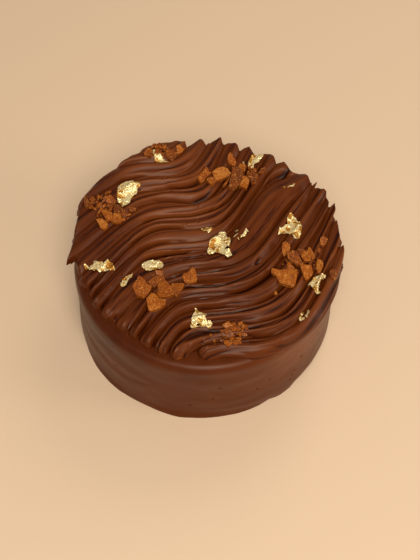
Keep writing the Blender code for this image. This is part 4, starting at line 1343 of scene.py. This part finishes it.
# shards of brittle: thickness, lean across and up, tone from brown (-0.2) to
# pale (0.1), outlines
shards = {
    "crunch_front_1": (3.0, (0.05, 0.10), -0.02, [
        [(-38.7, -22.8), (-39.6, -25.6), (-41.4, -28.3), (-42, -30), (-41.2, -31.4), (-40.3, -33.6),
         (-39.2, -35.4), (-36.4, -36.4), (-35.2, -37.1), (-33.1, -35.3), (-31, -31.1), (-30.6, -29.4),
         (-33.4, -28.1), (-34.8, -25.6), (-36, -24.4), (-37.6, -23.3)]]),
    "crunch_front_2": (2.6, (-0.05, 0.12), 0.0, [
        [(-33.7, -26.7), (-31.5, -25.3), (-30, -23.8), (-28.2, -22.6), (-24.2, -22.2), (-23.1, -25.2),
         (-24.4, -26.8), (-27, -27.6), (-28, -29.2), (-30.5, -29.2), (-32.3, -28.3)],
        [(-28.8, -18.4), (-24.4, -18.3), (-24.2, -20.8), (-28.4, -20.6)]]),
    "crunch_front_3": (2.8, (0.08, 0.05), 0.0, [
        [(-26.4, -28.1), (-23.1, -26.4), (-21.2, -28.6), (-18.9, -32.2), (-17.1, -36.1), (-18.4, -36.9),
         (-21.4, -38.1), (-26.4, -37.5), (-27.6, -35), (-27, -33.3), (-27.3, -30)]]),
    "crunch_front_4": (2.4, (0.02, 0.0), -0.12, [
        [(-18.9, -26.7), (-14.8, -26.7), (-12.3, -27.2), (-11.6, -28.3), (-13.1, -32.2), (-15.1, -35.6),
         (-16.7, -36.7), (-18.4, -33.1), (-20.3, -28.9)]]),
    "crunch_front_5": (2.8, (-0.04, 0.12), 0.0, [
        [(-30.6, -33.9), (-27.6, -35), (-26.4, -37.5), (-22, -38.3), (-22.6, -41.4), (-25.5, -43.8),
         (-30.8, -46.2), (-32, -45.2), (-32.8, -41), (-33.4, -37.8)]]),
    "crunch_front_6": (2.4, (0.0, 0.05), -0.08, [
        [(-7, -16.3), (-5.6, -17.5), (-4.5, -21.1), (-4.5, -24.4), (-7.3, -26.5), (-11.4, -26.4),
         (-12.7, -23.3), (-13.4, -22.8), (-12, -20.3), (-10.3, -20), (-8.1, -17.2)]]),
    "crunch_right_1": (2.6, (0.05, 0.10), 0.0, [
        [(39.4, -16.8), (44.4, -18.3), (47.8, -17.6), (54.2, -18), (54.4, -20.3), (53, -27),
         (51.9, -29.1), (46.9, -27.6), (43.6, -26.2), (42.5, -23.7), (41.1, -21.2), (39, -19.5)]]),
    "crunch_right_2": (2.4, (0.0, 0.08), 0.0, [
        [(62.3, -0.8), (63.6, -2.8), (65.5, -8.3), (64.4, -9.9), (62.3, -10.8), (59, -10.8),
         (57.3, -7.4), (57.1, -5.3), (58.6, -4.1), (60.7, -3.7)],
        [(54.4, -3.4), (57, -2.4), (60.9, -2.2), (57.5, -3.5)]]),
    "crunch_right_3": (2.6, (0.05, 0.0), 0.0, [
        [(48.6, -4.9), (51.1, -3.7), (52.8, -2.8), (54.4, -4.1), (56.5, -8.7), (58, -12), (57.3, -12.8),
         (54, -12.6), (52.3, -10.8), (50.3, -10.8), (49, -8.3)],
        [(48.6, -15.8), (49.8, -14.1), (51.9, -14.5), (53.2, -16.2), (52.8, -17.6), (48.6, -17.4)]]),
    "crunch_right_4": (2.4, (-0.05, 0.05), 0.0, [
        [(55.9, -14.1), (62.8, -13.9), (63.6, -19.1), (60.7, -22.8), (59, -23.9), (58.2, -22.4),
         (57.3, -19.1)]]),
    "crunch_right_5": (2.0, (0.1, 0.0), 0.0, [
        [(66.9, -8.3), (68.6, -9.1), (70, -11.6), (70, -14.1), (67.8, -19.1), (66.5, -18.7),
         (65.9, -15.3), (66.1, -11.6)]]),
    "crunch_right_6": (2.2, (0.0, 0.0), 0.0, [
        [(73.2, -18.3), (74, -16.8), (76.1, -16.2), (78.2, -17), (78.4, -19.1), (77.3, -21.6),
         (75.7, -23.3), (74.4, -22.6), (73.8, -20.3)]]),
    "crunch_right_7": (2.0, (0.0, 0.05), -0.08, [
        [(46.5, 1.3), (48.2, 2.6), (50.7, 1.3), (51.1, -0.8), (50.3, -3.7), (48.6, -5.3), (47.3, -6.6),
         (46.1, -4.9), (45.9, -1.6)]]),
    "crunch_right_8": (2.0, (0.0, 0.05), -0.02, [
        [(69, 3.8), (69.4, 5.5), (71.5, 6.8), (74, 6.3), (73.2, 3.8), (71.9, 1.8), (70.3, 0.9), (69, 1.3)],
        [(68.2, -1.2), (69.4, -1.8), (68.3, -4.4), (66.9, -3)]]),
    "crunch_back_1": (2.2, (0.0, 0.08), 0.02, [
        [(0.6, 60.4), (1.7, 59), (2.1, 57.2), (3.9, 56.5), (1.4, 54), (-0.8, 50.1), (-2.9, 49.4),
         (-4.4, 50.8), (-4.9, 52.9), (-3.6, 54.7), (-1.9, 56.9)]]),
    "crunch_back_2": (2.4, (0.0, 0.08), 0.04, [
        [(4.2, 56.9), (6, 58.6), (8.1, 60.1), (10.3, 60.8), (12.4, 60.4), (14.2, 59.4), (14.9, 57.6),
         (16.4, 56.5), (15.3, 54.7), (10.6, 51.9), (6.7, 50.1), (6, 51.9), (4.9, 54.4)]]),
    "crunch_back_3": (2.2, (0.0, 0.05), 0.0, [
        [(1.4, 52.9), (3.9, 53.6), (6, 52.2), (7.4, 50.4), (6, 48.6), (5.3, 46.5), (3.5, 46.9),
         (0.6, 50.8)]]),
    "crunch_back_4": (2.6, (0.05, 0.05), -0.10, [
        [(16.4, 59.7), (18.1, 61.1), (20.6, 61.5), (23.1, 57.6), (23.9, 53.3), (21.7, 48.3), (19.2, 45.1),
         (16.4, 44), (14.2, 44.4), (15.3, 50.8), (16.7, 56.1)],
        [(15.8, 53.8), (13.5, 47.5), (11.5, 44.9), (10.5, 46), (13, 49.5)]]),
    "crunch_back_5": (2.2, (0.0, 0.05), -0.04, [
        [(23.9, 52.9), (25.3, 52.9), (27.1, 50.8), (27.4, 48.6), (25.6, 43.6), (21, 45.8), (23.1, 50.8)]]),
    "crunch_back_6": (2.2, (0.0, 0.05), 0.0, [
        [(27.4, 51.9), (28.9, 54), (31, 55.4), (32.8, 54.4), (33.1, 51.9), (31.7, 47.6), (28.9, 47)]]),
    "crunch_back_7": (2.2, (0.0, 0.08), -0.05, [
        [(15.6, 71.5), (17.1, 70.4), (17.6, 68.6), (19.2, 67.2), (19.6, 64.7), (18.5, 62.6), (14.6, 64),
         (13.9, 66.5), (14.2, 69)]]),
    "crunch_back_8": (2.0, (0.0, 0.05), -0.04, [
        [(21.7, 64), (23.9, 64), (25.3, 62.6), (24.9, 57.6), (22.8, 57.6), (20.6, 61.9)]]),
    "crunch_left_1": (1.8, (0.0, 0.05), -0.06, [
        [(-73.7, 38), (-72, 34), (-70.8, 32.3), (-71.3, 30.3), (-72.3, 28), (-73.3, 28.7), (-74.7, 33.3)]]),
    "crunch_left_2": (2.2, (0.0, 0.08), 0.0, [
        [(-58.7, 37.8), (-57.3, 36.7), (-55, 34), (-55.3, 32.3), (-59.3, 32.3), (-61.3, 33.3)]]),
    "crunch_left_3": (2.4, (0.0, 0.08), 0.0, [
        [(-64, 26.7), (-62, 26.7), (-59.3, 25.7), (-56.7, 24.7), (-56.3, 20.7), (-59.3, 17.7),
         (-61.7, 22.3)]]),
    "crunch_left_4": (2.4, (0.0, 0.05), 0.02, [
        [(-56, 23), (-51.7, 23.3), (-51, 21), (-49.7, 18.7), (-51.3, 17), (-54, 16.3), (-58, 18),
         (-56.3, 20.3)]]),
    "crunch_left_5": (2.2, (0.0, 0.08), 0.0, [
        [(-66, 19.3), (-64.5, 16.5), (-63, 13.2), (-61, 12.3), (-59.3, 13.5), (-58.8, 16), (-60.2, 18.5),
         (-64, 20.3)]]),
    "crunch_rear_1": (2.2, (0.0, 0.05), -0.16, [
        [(-37.1, 76.4), (-33.9, 74.9), (-33.6, 70.8), (-34.5, 68.5), (-38.6, 69.4), (-39.2, 71.7),
         (-38, 73.2)]]),
    "crunch_rear_2": (2.2, (0.0, 0.05), -0.16, [
        [(-23.6, 72.9), (-21.5, 73.2), (-18.3, 71.7), (-18.6, 69.1), (-20.6, 64.9), (-23.6, 66.7),
         (-25.1, 69.1)]]),
    "crunch_rear_3": (2.0, (0.0, 0.05), -0.06, [
        [(-18.6, 77.3), (-16.8, 78.3), (-13.9, 76.1), (-14.5, 74.4), (-16.2, 72.9), (-18, 72.3)]]),
    "crunch_low_1": (2.2, (0.0, 0.05), 0.0, [
        [(10, -61.1), (10.6, -59.4), (12.4, -58.5), (15, -58.5), (17.4, -62), (14.1, -63), (10.6, -62.3)]]),
}
# smaller bits lying loose: thickness, tone, outlines
bits = (
    (1.8, -0.05, [
        [(-59.3, 31.7), (-56.7, 31.7), (-55.7, 30.7), (-57.7, 27.3), (-60.3, 29.7)],
        [(-62.3, 38.7), (-61.3, 40.3), (-58.3, 42), (-58, 41), (-60, 39.7)],
        [(-46.7, 28), (-44.7, 29), (-42.2, 28.3), (-42.7, 26.3), (-46.3, 26)],
        [(-59.3, 32), (-60.6, 31), (-63.4, 26.4), (-66.2, 23), (-65, 25.9), (-62.4, 30)]]),
    (1.8, -0.2, [
        [(-55.5, 31), (-52.5, 30.5), (-51, 27.5), (-52, 24.8), (-55, 24.5), (-56.3, 27.5)],
        [(-51, 27), (-48, 26.4), (-47, 22.5), (-49.5, 20.5), (-51.4, 23.4)]]),
    (1.8, -0.02, [
        [(33.9, 58.3), (34.9, 60.4), (37.1, 60.8), (38.3, 59.4), (37.1, 56.9), (32.8, 56.9)],
        [(10.3, -54.9), (11.8, -53.8), (14.4, -53.8), (15.6, -54.9), (13.2, -57.6)],
        [(20.6, -55.8), (21.2, -54.6), (25, -55.2), (21.8, -58.5)],
        [(41.5, -31.6), (42.5, -33.7), (41.7, -34.9), (40.3, -33.5)]]),
    (1.8, -0.14, [
        [(10.9, -64.9), (15, -64.6), (16.2, -66.4), (13.5, -69.2), (11.2, -67)],
        [(-33.3, 77.3), (-31.5, 77.3), (-31.5, 80.2), (-33.3, 80.2)],
        [(-27.4, 76), (-25, 76), (-25, 78.8), (-27.4, 78.8)],
        [(48.3, -11), (50.5, -12), (51.5, -14), (49.5, -14.5)]]),
)
# crumbs: x, y, how far they spread, how many, largest size
crumbHeaps = (
    (-66.0, 34.0, 6.0, 40, 2.5), (-50.5, 26.0, 4.5, 18, 2.0), (-27.5, -20.5, 3.5, 4, 1.2),
    (-29.0, 75.5, 6.0, 34, 2.3), (27.0, 58.5, 5.0, 30, 2.3), (53.0, -12.0, 7.0, 18, 1.7),
    (17.0, -59.0, 8.0, 60, 2.7), (7.0, 52.0, 6.0, 8, 1.4), (-25.0, -33.0, 8.0, 10, 1.0),
    (66.0, -12.0, 7.0, 12, 1.3), (-60.0, 24.0, 7.0, 24, 1.6), (18.0, 55.0, 8.0, 16, 1.5),
    (-9.0, -22.0, 4.5, 3, 0.8), (4.0, -62.0, 3.0, 6, 1.4),
)


def crumbMesh(x, y, size, ground, seed, tone):
    # a rough little grain
    draw = np.random.default_rng(seed)
    rings, around = 5, 8
    points = [(0.0, 0.0, -1.0)]
    for ring in range(1, rings):
        turn = math.pi * ring / rings
        for corner in range(around):
            angle, wide = 2.0 * math.pi * corner / around, math.sin(turn)
            points.append((wide * math.cos(angle), wide * math.sin(angle), -math.cos(turn)))
    points.append((0.0, 0.0, 1.0))
    points = np.array(points) * draw.uniform(0.72, 1.18, (len(points), 1))
    stretch = np.array([draw.uniform(0.8, 1.3), draw.uniform(0.6, 1.0), draw.uniform(0.5, 0.8)])
    angle = draw.uniform(0.0, math.pi)
    turned = Matrix.Rotation(angle, 3, "Z") @ Matrix.Rotation(draw.uniform(-0.4, 0.4), 3, "X")
    points = (points * stretch * size / 2.0) @ np.array(turned).T
    points = points + np.array([x, y, ground(x, y) + size * 0.22])
    faces = [(0, 1 + (corner + 1) % around, 1 + corner) for corner in range(around)]
    for ring in range(rings - 2):
        for corner in range(around):
            near, far = 1 + ring * around, 1 + (ring + 1) * around
            after = (corner + 1) % around
            faces.append((near + corner, near + after, far + after, far + corner))
    last = len(points) - 1
    first = last - around
    faces += [(last, first + corner, first + (corner + 1) % around) for corner in range(around)]
    return tonedMesh("grain", points, faces, tone)


def chipMesh(x, y, size, ground, seed, tone):
    # a small angular splinter
    draw = np.random.default_rng(seed)
    corners = int(draw.integers(4, 7))
    turns = (np.arange(corners) + draw.uniform(-0.3, 0.3, corners)) * 2.0 * math.pi / corners
    reach = draw.uniform(0.7, 1.15, corners) * size / 2.0
    ring = np.stack([reach * np.cos(turns), reach * np.sin(turns) * draw.uniform(0.55, 1.0)], 1)
    thick = size * draw.uniform(0.22, 0.4)
    points = np.concatenate([
        np.column_stack([ring * draw.uniform(0.8, 1.0), np.full(corners, -thick)]),
        np.column_stack([ring, thick * draw.uniform(0.3, 1.0, corners)]),
        [(0.0, 0.0, -thick), (0.1 * size, 0.0, thick * 0.9)]])
    turned = Matrix.Rotation(draw.uniform(0.0, 6.28), 3, "Z")
    turned = turned @ Matrix.Rotation(draw.uniform(-0.55, 0.55), 3, "X")
    points = points @ np.array(turned).T + np.array([x, y, ground(x, y) + thick * 0.8])
    faces = []
    for corner in range(corners):
        after = (corner + 1) % corners
        faces.append((corner, after, corners + after, corners + corner))
        faces.append((after, corner, 2 * corners))
        faces.append((corners + corner, corners + after, 2 * corners + 1))
    return tonedMesh("chip", points, faces, tone)


def makeShards(ground):
    material = makePralineMaterial()
    for seed, (name, (thickness, tilt, tone, outlines)) in enumerate(shards.items()):
        sink = toppingStyle["shardSink"]
        plates = brittleMesh(outlines, ground, thickness, tilt, seed + 1, tone, sink)
        piece = joinMeshes("shown_" + name, plates)
        piece.data.set_sharp_from_angle(angle=math.radians(toppingStyle["brittleSharp"]))
        dress(piece, material)
        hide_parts(name)
    meshes = []
    for seed, (thickness, tone, outlines) in enumerate(bits):
        tilt, sink = toppingStyle["bitTilt"], toppingStyle["bitSink"]
        meshes += brittleMesh(outlines, ground, thickness, tilt, seed + 60, tone, sink)
    draw = np.random.default_rng(17)
    for x, y, reach, count, largest in crumbHeaps:
        for _ in range(count):
            angle = draw.uniform(0.0, 2.0 * math.pi)
            away = reach * math.sqrt(draw.uniform(0.0, 1.0))
            share = draw.uniform(0.0, 1.0)
            placeX, placeY = x + away * math.cos(angle), y + away * math.sin(angle)
            tone = draw.choice((-0.20, -0.10, 0.0, 0.06))
            number = int(draw.integers(1 << 30))
            shape, least = (chipMesh, 0.5) if share > 0.35 else (crumbMesh, 0.4)
            meshes.append(shape(placeX, placeY, largest * (least + share), ground, number, tone))
    crumbs = joinMeshes("crumbs", meshes)
    crumbs.data.set_sharp_from_angle(angle=math.radians(toppingStyle["brittleSharp"]))
    dress(crumbs, material)
    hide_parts("cake")
    print("brittle made,", len(shards), "shards,", len(crumbs.data.polygons), "faces of crumbs")


# gold leaf: height of the folds, outlines
leaves = {
    "gold_leaf_1": (1.1, [
        [(8.8, 10.2), (9.9, 10.5), (11.1, 10.1), (12.3, 10.8), (14.4, 8.2), (15.4, 4.4), (15.1, -0.6),
         (14.4, -0.9), (13.5, 0.2), (12.6, -1.2), (11.7, -3), (13.8, -2.7), (15.2, -4.2), (16.3, -6.8),
         (13.8, -8.9), (10.8, -6.5), (8.5, -5.1), (6.4, -4.2), (5.2, -5.4), (2.9, -6.5), (1.7, -5.4),
         (1.4, -2.7), (2.4, -0.6), (2.3, 0.8), (4.2, 4.6), (5.5, 5.5), (7.3, 7.6)]]),
    "gold_leaf_2": (0.5, [
        [(-2.4, 14.1), (-1.2, 14.5), (3.2, 15.1), (4.8, 13.8), (4.1, 12), (2.1, 10.5), (1.4, 11.4),
         (-0.9, 11.4), (-2.3, 12.3)]]),
    "gold_leaf_3": (0.6, [
        [(21, 6.4), (21.1, 7.6), (23.2, 9.6), (24.9, 13.5), (26.4, 11.1), (25.2, 11.1), (24.4, 7.9),
         (22, 7)],
        [(18, 12), (18.7, 12.7), (19.8, 12.5), (20.4, 11.5), (19.4, 11), (18.5, 11.2)],
        [(17.1, 7.6), (19.6, 10), (20.1, 9.2), (17.6, 6.7)],
        [(19.5, 6.6), (20.2, 6.4), (20.9, 5), (20.2, 4.9)]]),
    "gold_leaf_4": (1.0, [
        [(52.3, 24.3), (53.8, 23), (54.4, 21.8), (55.5, 21.3), (56.1, 18.8), (58.8, 13.6), (58.2, 9.7),
         (56.9, 6.3), (54.8, 4.7), (53.4, 4.9), (52.3, 7.2), (49.8, 9.7), (46.5, 9.3), (44, 7.2),
         (45, 12.2), (46.1, 11.8), (48.8, 15.5), (50, 15.5), (50, 19.7), (51.1, 22.2)]]),
    "gold_leaf_5": (0.5, [
        [(50.9, 45.4), (51.6, 46.2), (52.3, 46.8), (54.2, 47.4), (54.9, 48.4), (55.8, 48.5), (55.3, 47.3),
         (54.9, 46.5), (53.3, 46.1), (52.2, 45.8), (51.3, 45)],
        [(48.3, 45.9), (49, 46.1), (49.7, 45.4), (49.3, 44.5), (48.5, 45)]]),
    "gold_leaf_6": (0.8, [
        [(-32.7, 75.8), (-31.1, 73.2), (-29.8, 73.5), (-28, 70.2), (-26.5, 68.5), (-23, 64.6),
         (-23.3, 64.1), (-28, 64.4), (-32.1, 66.1), (-32, 68.5), (-33.3, 72), (-33.6, 74.4)]]),
    "gold_leaf_7": (0.9, [
        [(31.4, 72.2), (34.9, 72.4), (37.1, 70.8), (34.6, 67.2), (33.5, 65.4), (30.6, 64), (30.3, 60.4),
         (28.9, 60.8), (27.1, 62.6), (27.4, 67.6), (28.9, 69.7), (30.3, 71.1)],
        [(22.9, 66.4), (23.6, 66.6), (24.8, 64.2), (24.2, 63.7)]]),
    "gold_leaf_8": (1.1, [
        [(-45, 50.3), (-44.3, 47.3), (-42.7, 48), (-41, 47.3), (-40.3, 45.7), (-42, 43.7), (-42.2, 41.3),
         (-42.7, 39.3), (-44.3, 38.7), (-45.7, 34.7), (-46.3, 32.3), (-48.7, 29.7), (-49.3, 31),
         (-50.3, 28.3), (-51.2, 29), (-51.3, 30.7), (-53.7, 33), (-54.5, 38.7), (-54.7, 41.3),
         (-54, 44), (-52.7, 46), (-50.7, 47.7), (-46.7, 49.3)]]),
    "gold_leaf_9": (0.9, [
        [(-71.5, -13.8), (-70.9, -12.9), (-69.6, -13.7), (-68, -14.8), (-66.9, -12.8), (-65.8, -12),
         (-65.9, -10.8), (-64.9, -10.1), (-64, -11), (-62.8, -11.5), (-60.6, -11.6), (-59.8, -13.5),
         (-59, -12.3), (-57.5, -10), (-56.4, -11.6), (-54.6, -12), (-54, -13.9), (-52.7, -17.2),
         (-54.2, -17.5), (-57.8, -18.2), (-60.2, -17.8), (-61.5, -19), (-62.9, -18.3), (-64, -17.5),
         (-65, -18.8), (-65.8, -17.3), (-67.8, -17.5), (-68.5, -16.4), (-69.3, -15.4), (-69.7, -16.6),
         (-70.5, -15.6)]]),
    "gold_leaf_10": (0.8, [
        [(-37.4, -14.8), (-36.7, -12.3), (-35.5, -11), (-33, -10.4), (-31.8, -10.3), (-30.9, -9.3),
         (-29.9, -10.6), (-27, -10.5), (-25.4, -11.5), (-24.2, -13.6), (-24.6, -15.2), (-25.2, -16.3),
         (-26.4, -17.6), (-28.3, -17), (-30, -17.4), (-32.6, -18.1), (-34.3, -17.7), (-35.4, -16.6),
         (-36.8, -15.6)]]),
    "gold_leaf_11": (0.6, [
        [(-42, -18.9), (-43.4, -20.4), (-44.5, -20.2), (-46.5, -21.8), (-48.5, -23.6), (-48.2, -25.5),
         (-49.6, -26.3), (-49, -28.2), (-48, -28.8), (-46, -28.3), (-45.3, -26), (-44.8, -24.5),
         (-43.6, -22.6), (-42.7, -22.2), (-42.6, -20.8)]]),
    "gold_leaf_12": (0.9, [
        [(-5.6, -41.8), (-4.4, -42.6), (-3.7, -44.1), (-0.3, -45.5), (1, -46.3), (1.5, -48.5),
         (0.3, -49.2), (1.6, -51.1), (1.2, -52.9), (-2.1, -52.3), (-3.7, -51.9), (-5, -53.5),
         (-7.5, -53), (-6.9, -50.2), (-6.8, -47.9), (-5.1, -44.4)],
        [(-8.1, -54.6), (-5.9, -55.2), (-2.4, -54.4), (-0.9, -53.2), (3.5, -52.3), (4.6, -54.1),
         (4.4, -55.8), (3.2, -57.9), (0.9, -56.7), (-2.1, -56.9), (-4.7, -56.1), (-5.9, -57.3),
         (-7.4, -56.4)]]),
    "gold_leaf_13": (0.8, [
        [(71.3, -19.1), (70.9, -20.5), (68.2, -22.8), (66.5, -27.4), (67.5, -32), (66.1, -32.4),
         (64, -31.2), (61.9, -26.2), (59.2, -28), (61.1, -25.3), (63.2, -21.6), (65.3, -20.3),
         (69.4, -19.1)]]),
    "gold_leaf_14": (0.6, [
        [(56.8, -46.3), (55.9, -47), (54.9, -48), (54.9, -49.3), (54.1, -50.5), (54.5, -51.5),
         (55.2, -52.5), (56.3, -52.3), (57.3, -51.4), (57.4, -50.4), (56.5, -49.8), (55.6, -50.6),
         (55.4, -50.3), (56.1, -49), (56.6, -48), (57.3, -46.8)],
        [(60.2, -43.5), (59.7, -43.4), (59, -44.6), (58.7, -45.7), (59.1, -46.6), (57.9, -47.2),
         (57.5, -48), (58.3, -49.4), (59, -49.2), (58.8, -47.9), (59.6, -47), (60.3, -46), (60.2, -44.6)]]),
}


def foilMesh(outline, ground, folds, seed):
    # one crumpled scrap of foil, with both its sides
    outline = slideBack(outline, ground, 0.6)
    x, y, kept, used, away = patchGrid(outline, toppingStyle["cell"])
    heights = np.array([[ground(a, b) for a, b in zip(rowX, rowY)] for rowX, rowY in zip(x, y)])
    # foil bridges the small hollows of the icing
    soft = heights.copy()
    for _ in range(toppingStyle["foilSoftening"]):
        padded = np.pad(soft, 1, mode="edge")
        besideX = padded[2:, 1:-1] + padded[:-2, 1:-1]
        soft = (besideX + padded[1:-1, 2:] + padded[1:-1, :-2] + 4.0 * soft) / 8.0
    big, small, curl = makeNoise(seed), makeNoise(seed + 1), makeNoise(seed + 2)
    bendX, bendY = x + 0.8 * curl(x / 2.2, y / 2.2), y + 0.8 * curl(x / 2.2 + 20.0, y / 2.2)
    crease = 1.0 - 2.0 * np.abs(big(bendX / 2.6, bendY / 2.6))
    fine = 1.0 - 2.0 * np.abs(small(bendX / 1.1, bendY / 1.1))
    lift = folds * (0.55 + 0.45 * crease) + 0.22 * fine + 0.10 * curl(x / 0.6, y / 0.6)
    rim = np.exp(-(away / 0.9) ** 2) * folds * 0.6 * np.clip(curl(x / 3.0 + 9.0, y / 3.0), -0.3, 1.0)
    top = np.maximum(soft + 0.12, heights + 0.06) + np.maximum(lift + rim, 0.02)
    low = top - toppingStyle["foilThickness"]
    points, faces, _ = closePatch(x, y, top, low, kept, used, 1, None)
    # painted shade in the folds, lighter on the raised creases
    tones = 0.40 * np.clip(crease, -1.0, 1.0) + 0.16 * fine - 0.04
    return tonedMesh("scrap", points, faces, np.tile(tones[used], 2))


def makeLeaves(ground):
    material = makeGoldMaterial()
    for seed, (name, (folds, outlines)) in enumerate(leaves.items()):
        scraps = [foilMesh(outline, ground, folds, 300 + seed * 11 + place * 3)
                  for place, outline in enumerate(outlines)]
        piece = joinMeshes("shown_" + name, scraps)
        piece.data.set_sharp_from_angle(angle=math.radians(toppingStyle["foilSharp"]))
        dress(piece, material)
        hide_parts(name)
    print("foil made,", len(leaves), "leaves")


# floor, light and camera

cameraStyle = {
    "lens": 67.1,
    "sensor": 36.0,
    "clip": (0.01, 20.0),     # metres
    "target": (3.18, 19.19, 0.0),
    "elevation": 56.34,
    "distance": 685.6,
    "roll": 0.238,
}
floorStyle = {
    "half": 3000.0,
    "gap": 0.2,               # under the cake
    "colour": (0.71, 0.535, 0.37),
    "roughness": 0.75,
}
lightStyle = {
    "worldColour": (1.0, 0.91, 0.80),
    "worldStrength": 0.30,
    "lampColour": (1.0, 0.91, 0.80),
    "aim": (0.0, 0.0, 0.04),
    # place and width in metres, power in watts, seen in the shine
    "lamps": {
        "keyLight": ((0.10, -0.80, 1.15), 0.8, 15.8, True),
        "fillLight": ((0.5, 1.1, 1.0), 0.8, 5.5, False),
        "sideLight": ((1.15, -0.25, 0.42), 0.5, 4.2, True),
    },
}


def makeCamera():
    data = bpy.data.cameras.new("camera")
    data.lens = cameraStyle["lens"]
    data.sensor_width = cameraStyle["sensor"]
    data.sensor_fit = "AUTO"
    data.clip_start, data.clip_end = cameraStyle["clip"]
    camera = bpy.data.objects.new("camera", data)
    bpy.context.scene.collection.objects.link(camera)
    elevation = math.radians(cameraStyle["elevation"])
    back = Vector((0.0, -math.cos(elevation), math.sin(elevation)))
    camera.location = (Vector(cameraStyle["target"]) + back * cameraStyle["distance"]) * mm
    roll = Matrix.Rotation(math.radians(cameraStyle["roll"]), 3, "Z")
    turn = (-back).to_track_quat("-Z", "Y").to_matrix() @ roll
    camera.rotation_euler = turn.to_euler()
    bpy.context.scene.camera = camera


def addAreaLight(name, place, size, power, inShine):
    data = bpy.data.lights.new(name, "AREA")
    data.shape = "DISK"
    data.size = size
    data.energy = power
    data.color = lightStyle["lampColour"]
    lamp = bpy.data.objects.new(name, data)
    bpy.context.scene.collection.objects.link(lamp)
    lamp.location = place
    lamp.visible_glossy = inShine
    aim = Vector(lightStyle["aim"]) - Vector(place)
    lamp.rotation_euler = aim.to_track_quat("-Z", "Y").to_euler()


def makeStudio():
    half = floorStyle["half"]
    corners = [(-half, -half, 0.0), (half, -half, 0.0), (half, half, 0.0), (-half, half, 0.0)]
    floor = makeMesh("floor", corners, [(0, 1, 2, 3)])
    floor.location.z = -floorStyle["gap"] * mm
    paper = makePlainMaterial("floorPaper", floorStyle["colour"], floorStyle["roughness"])
    floor.data.materials.append(paper)
    world = bpy.data.worlds.new("studio")
    bpy.context.scene.world = world
    world.use_nodes = True
    back = world.node_tree.nodes["Background"]
    back.inputs["Color"].default_value = (*lightStyle["worldColour"], 1.0)
    back.inputs["Strength"].default_value = lightStyle["worldStrength"]
    for name, (place, size, power, inShine) in lightStyle["lamps"].items():
        addAreaLight(name, place, size, power, inShine)
    bpy.context.scene.view_settings.view_transform = "Standard"


icing = makeIcing()
ground = makeGround(icing)
makeShards(ground)
makeLeaves(ground)
makeStudio()
makeCamera()
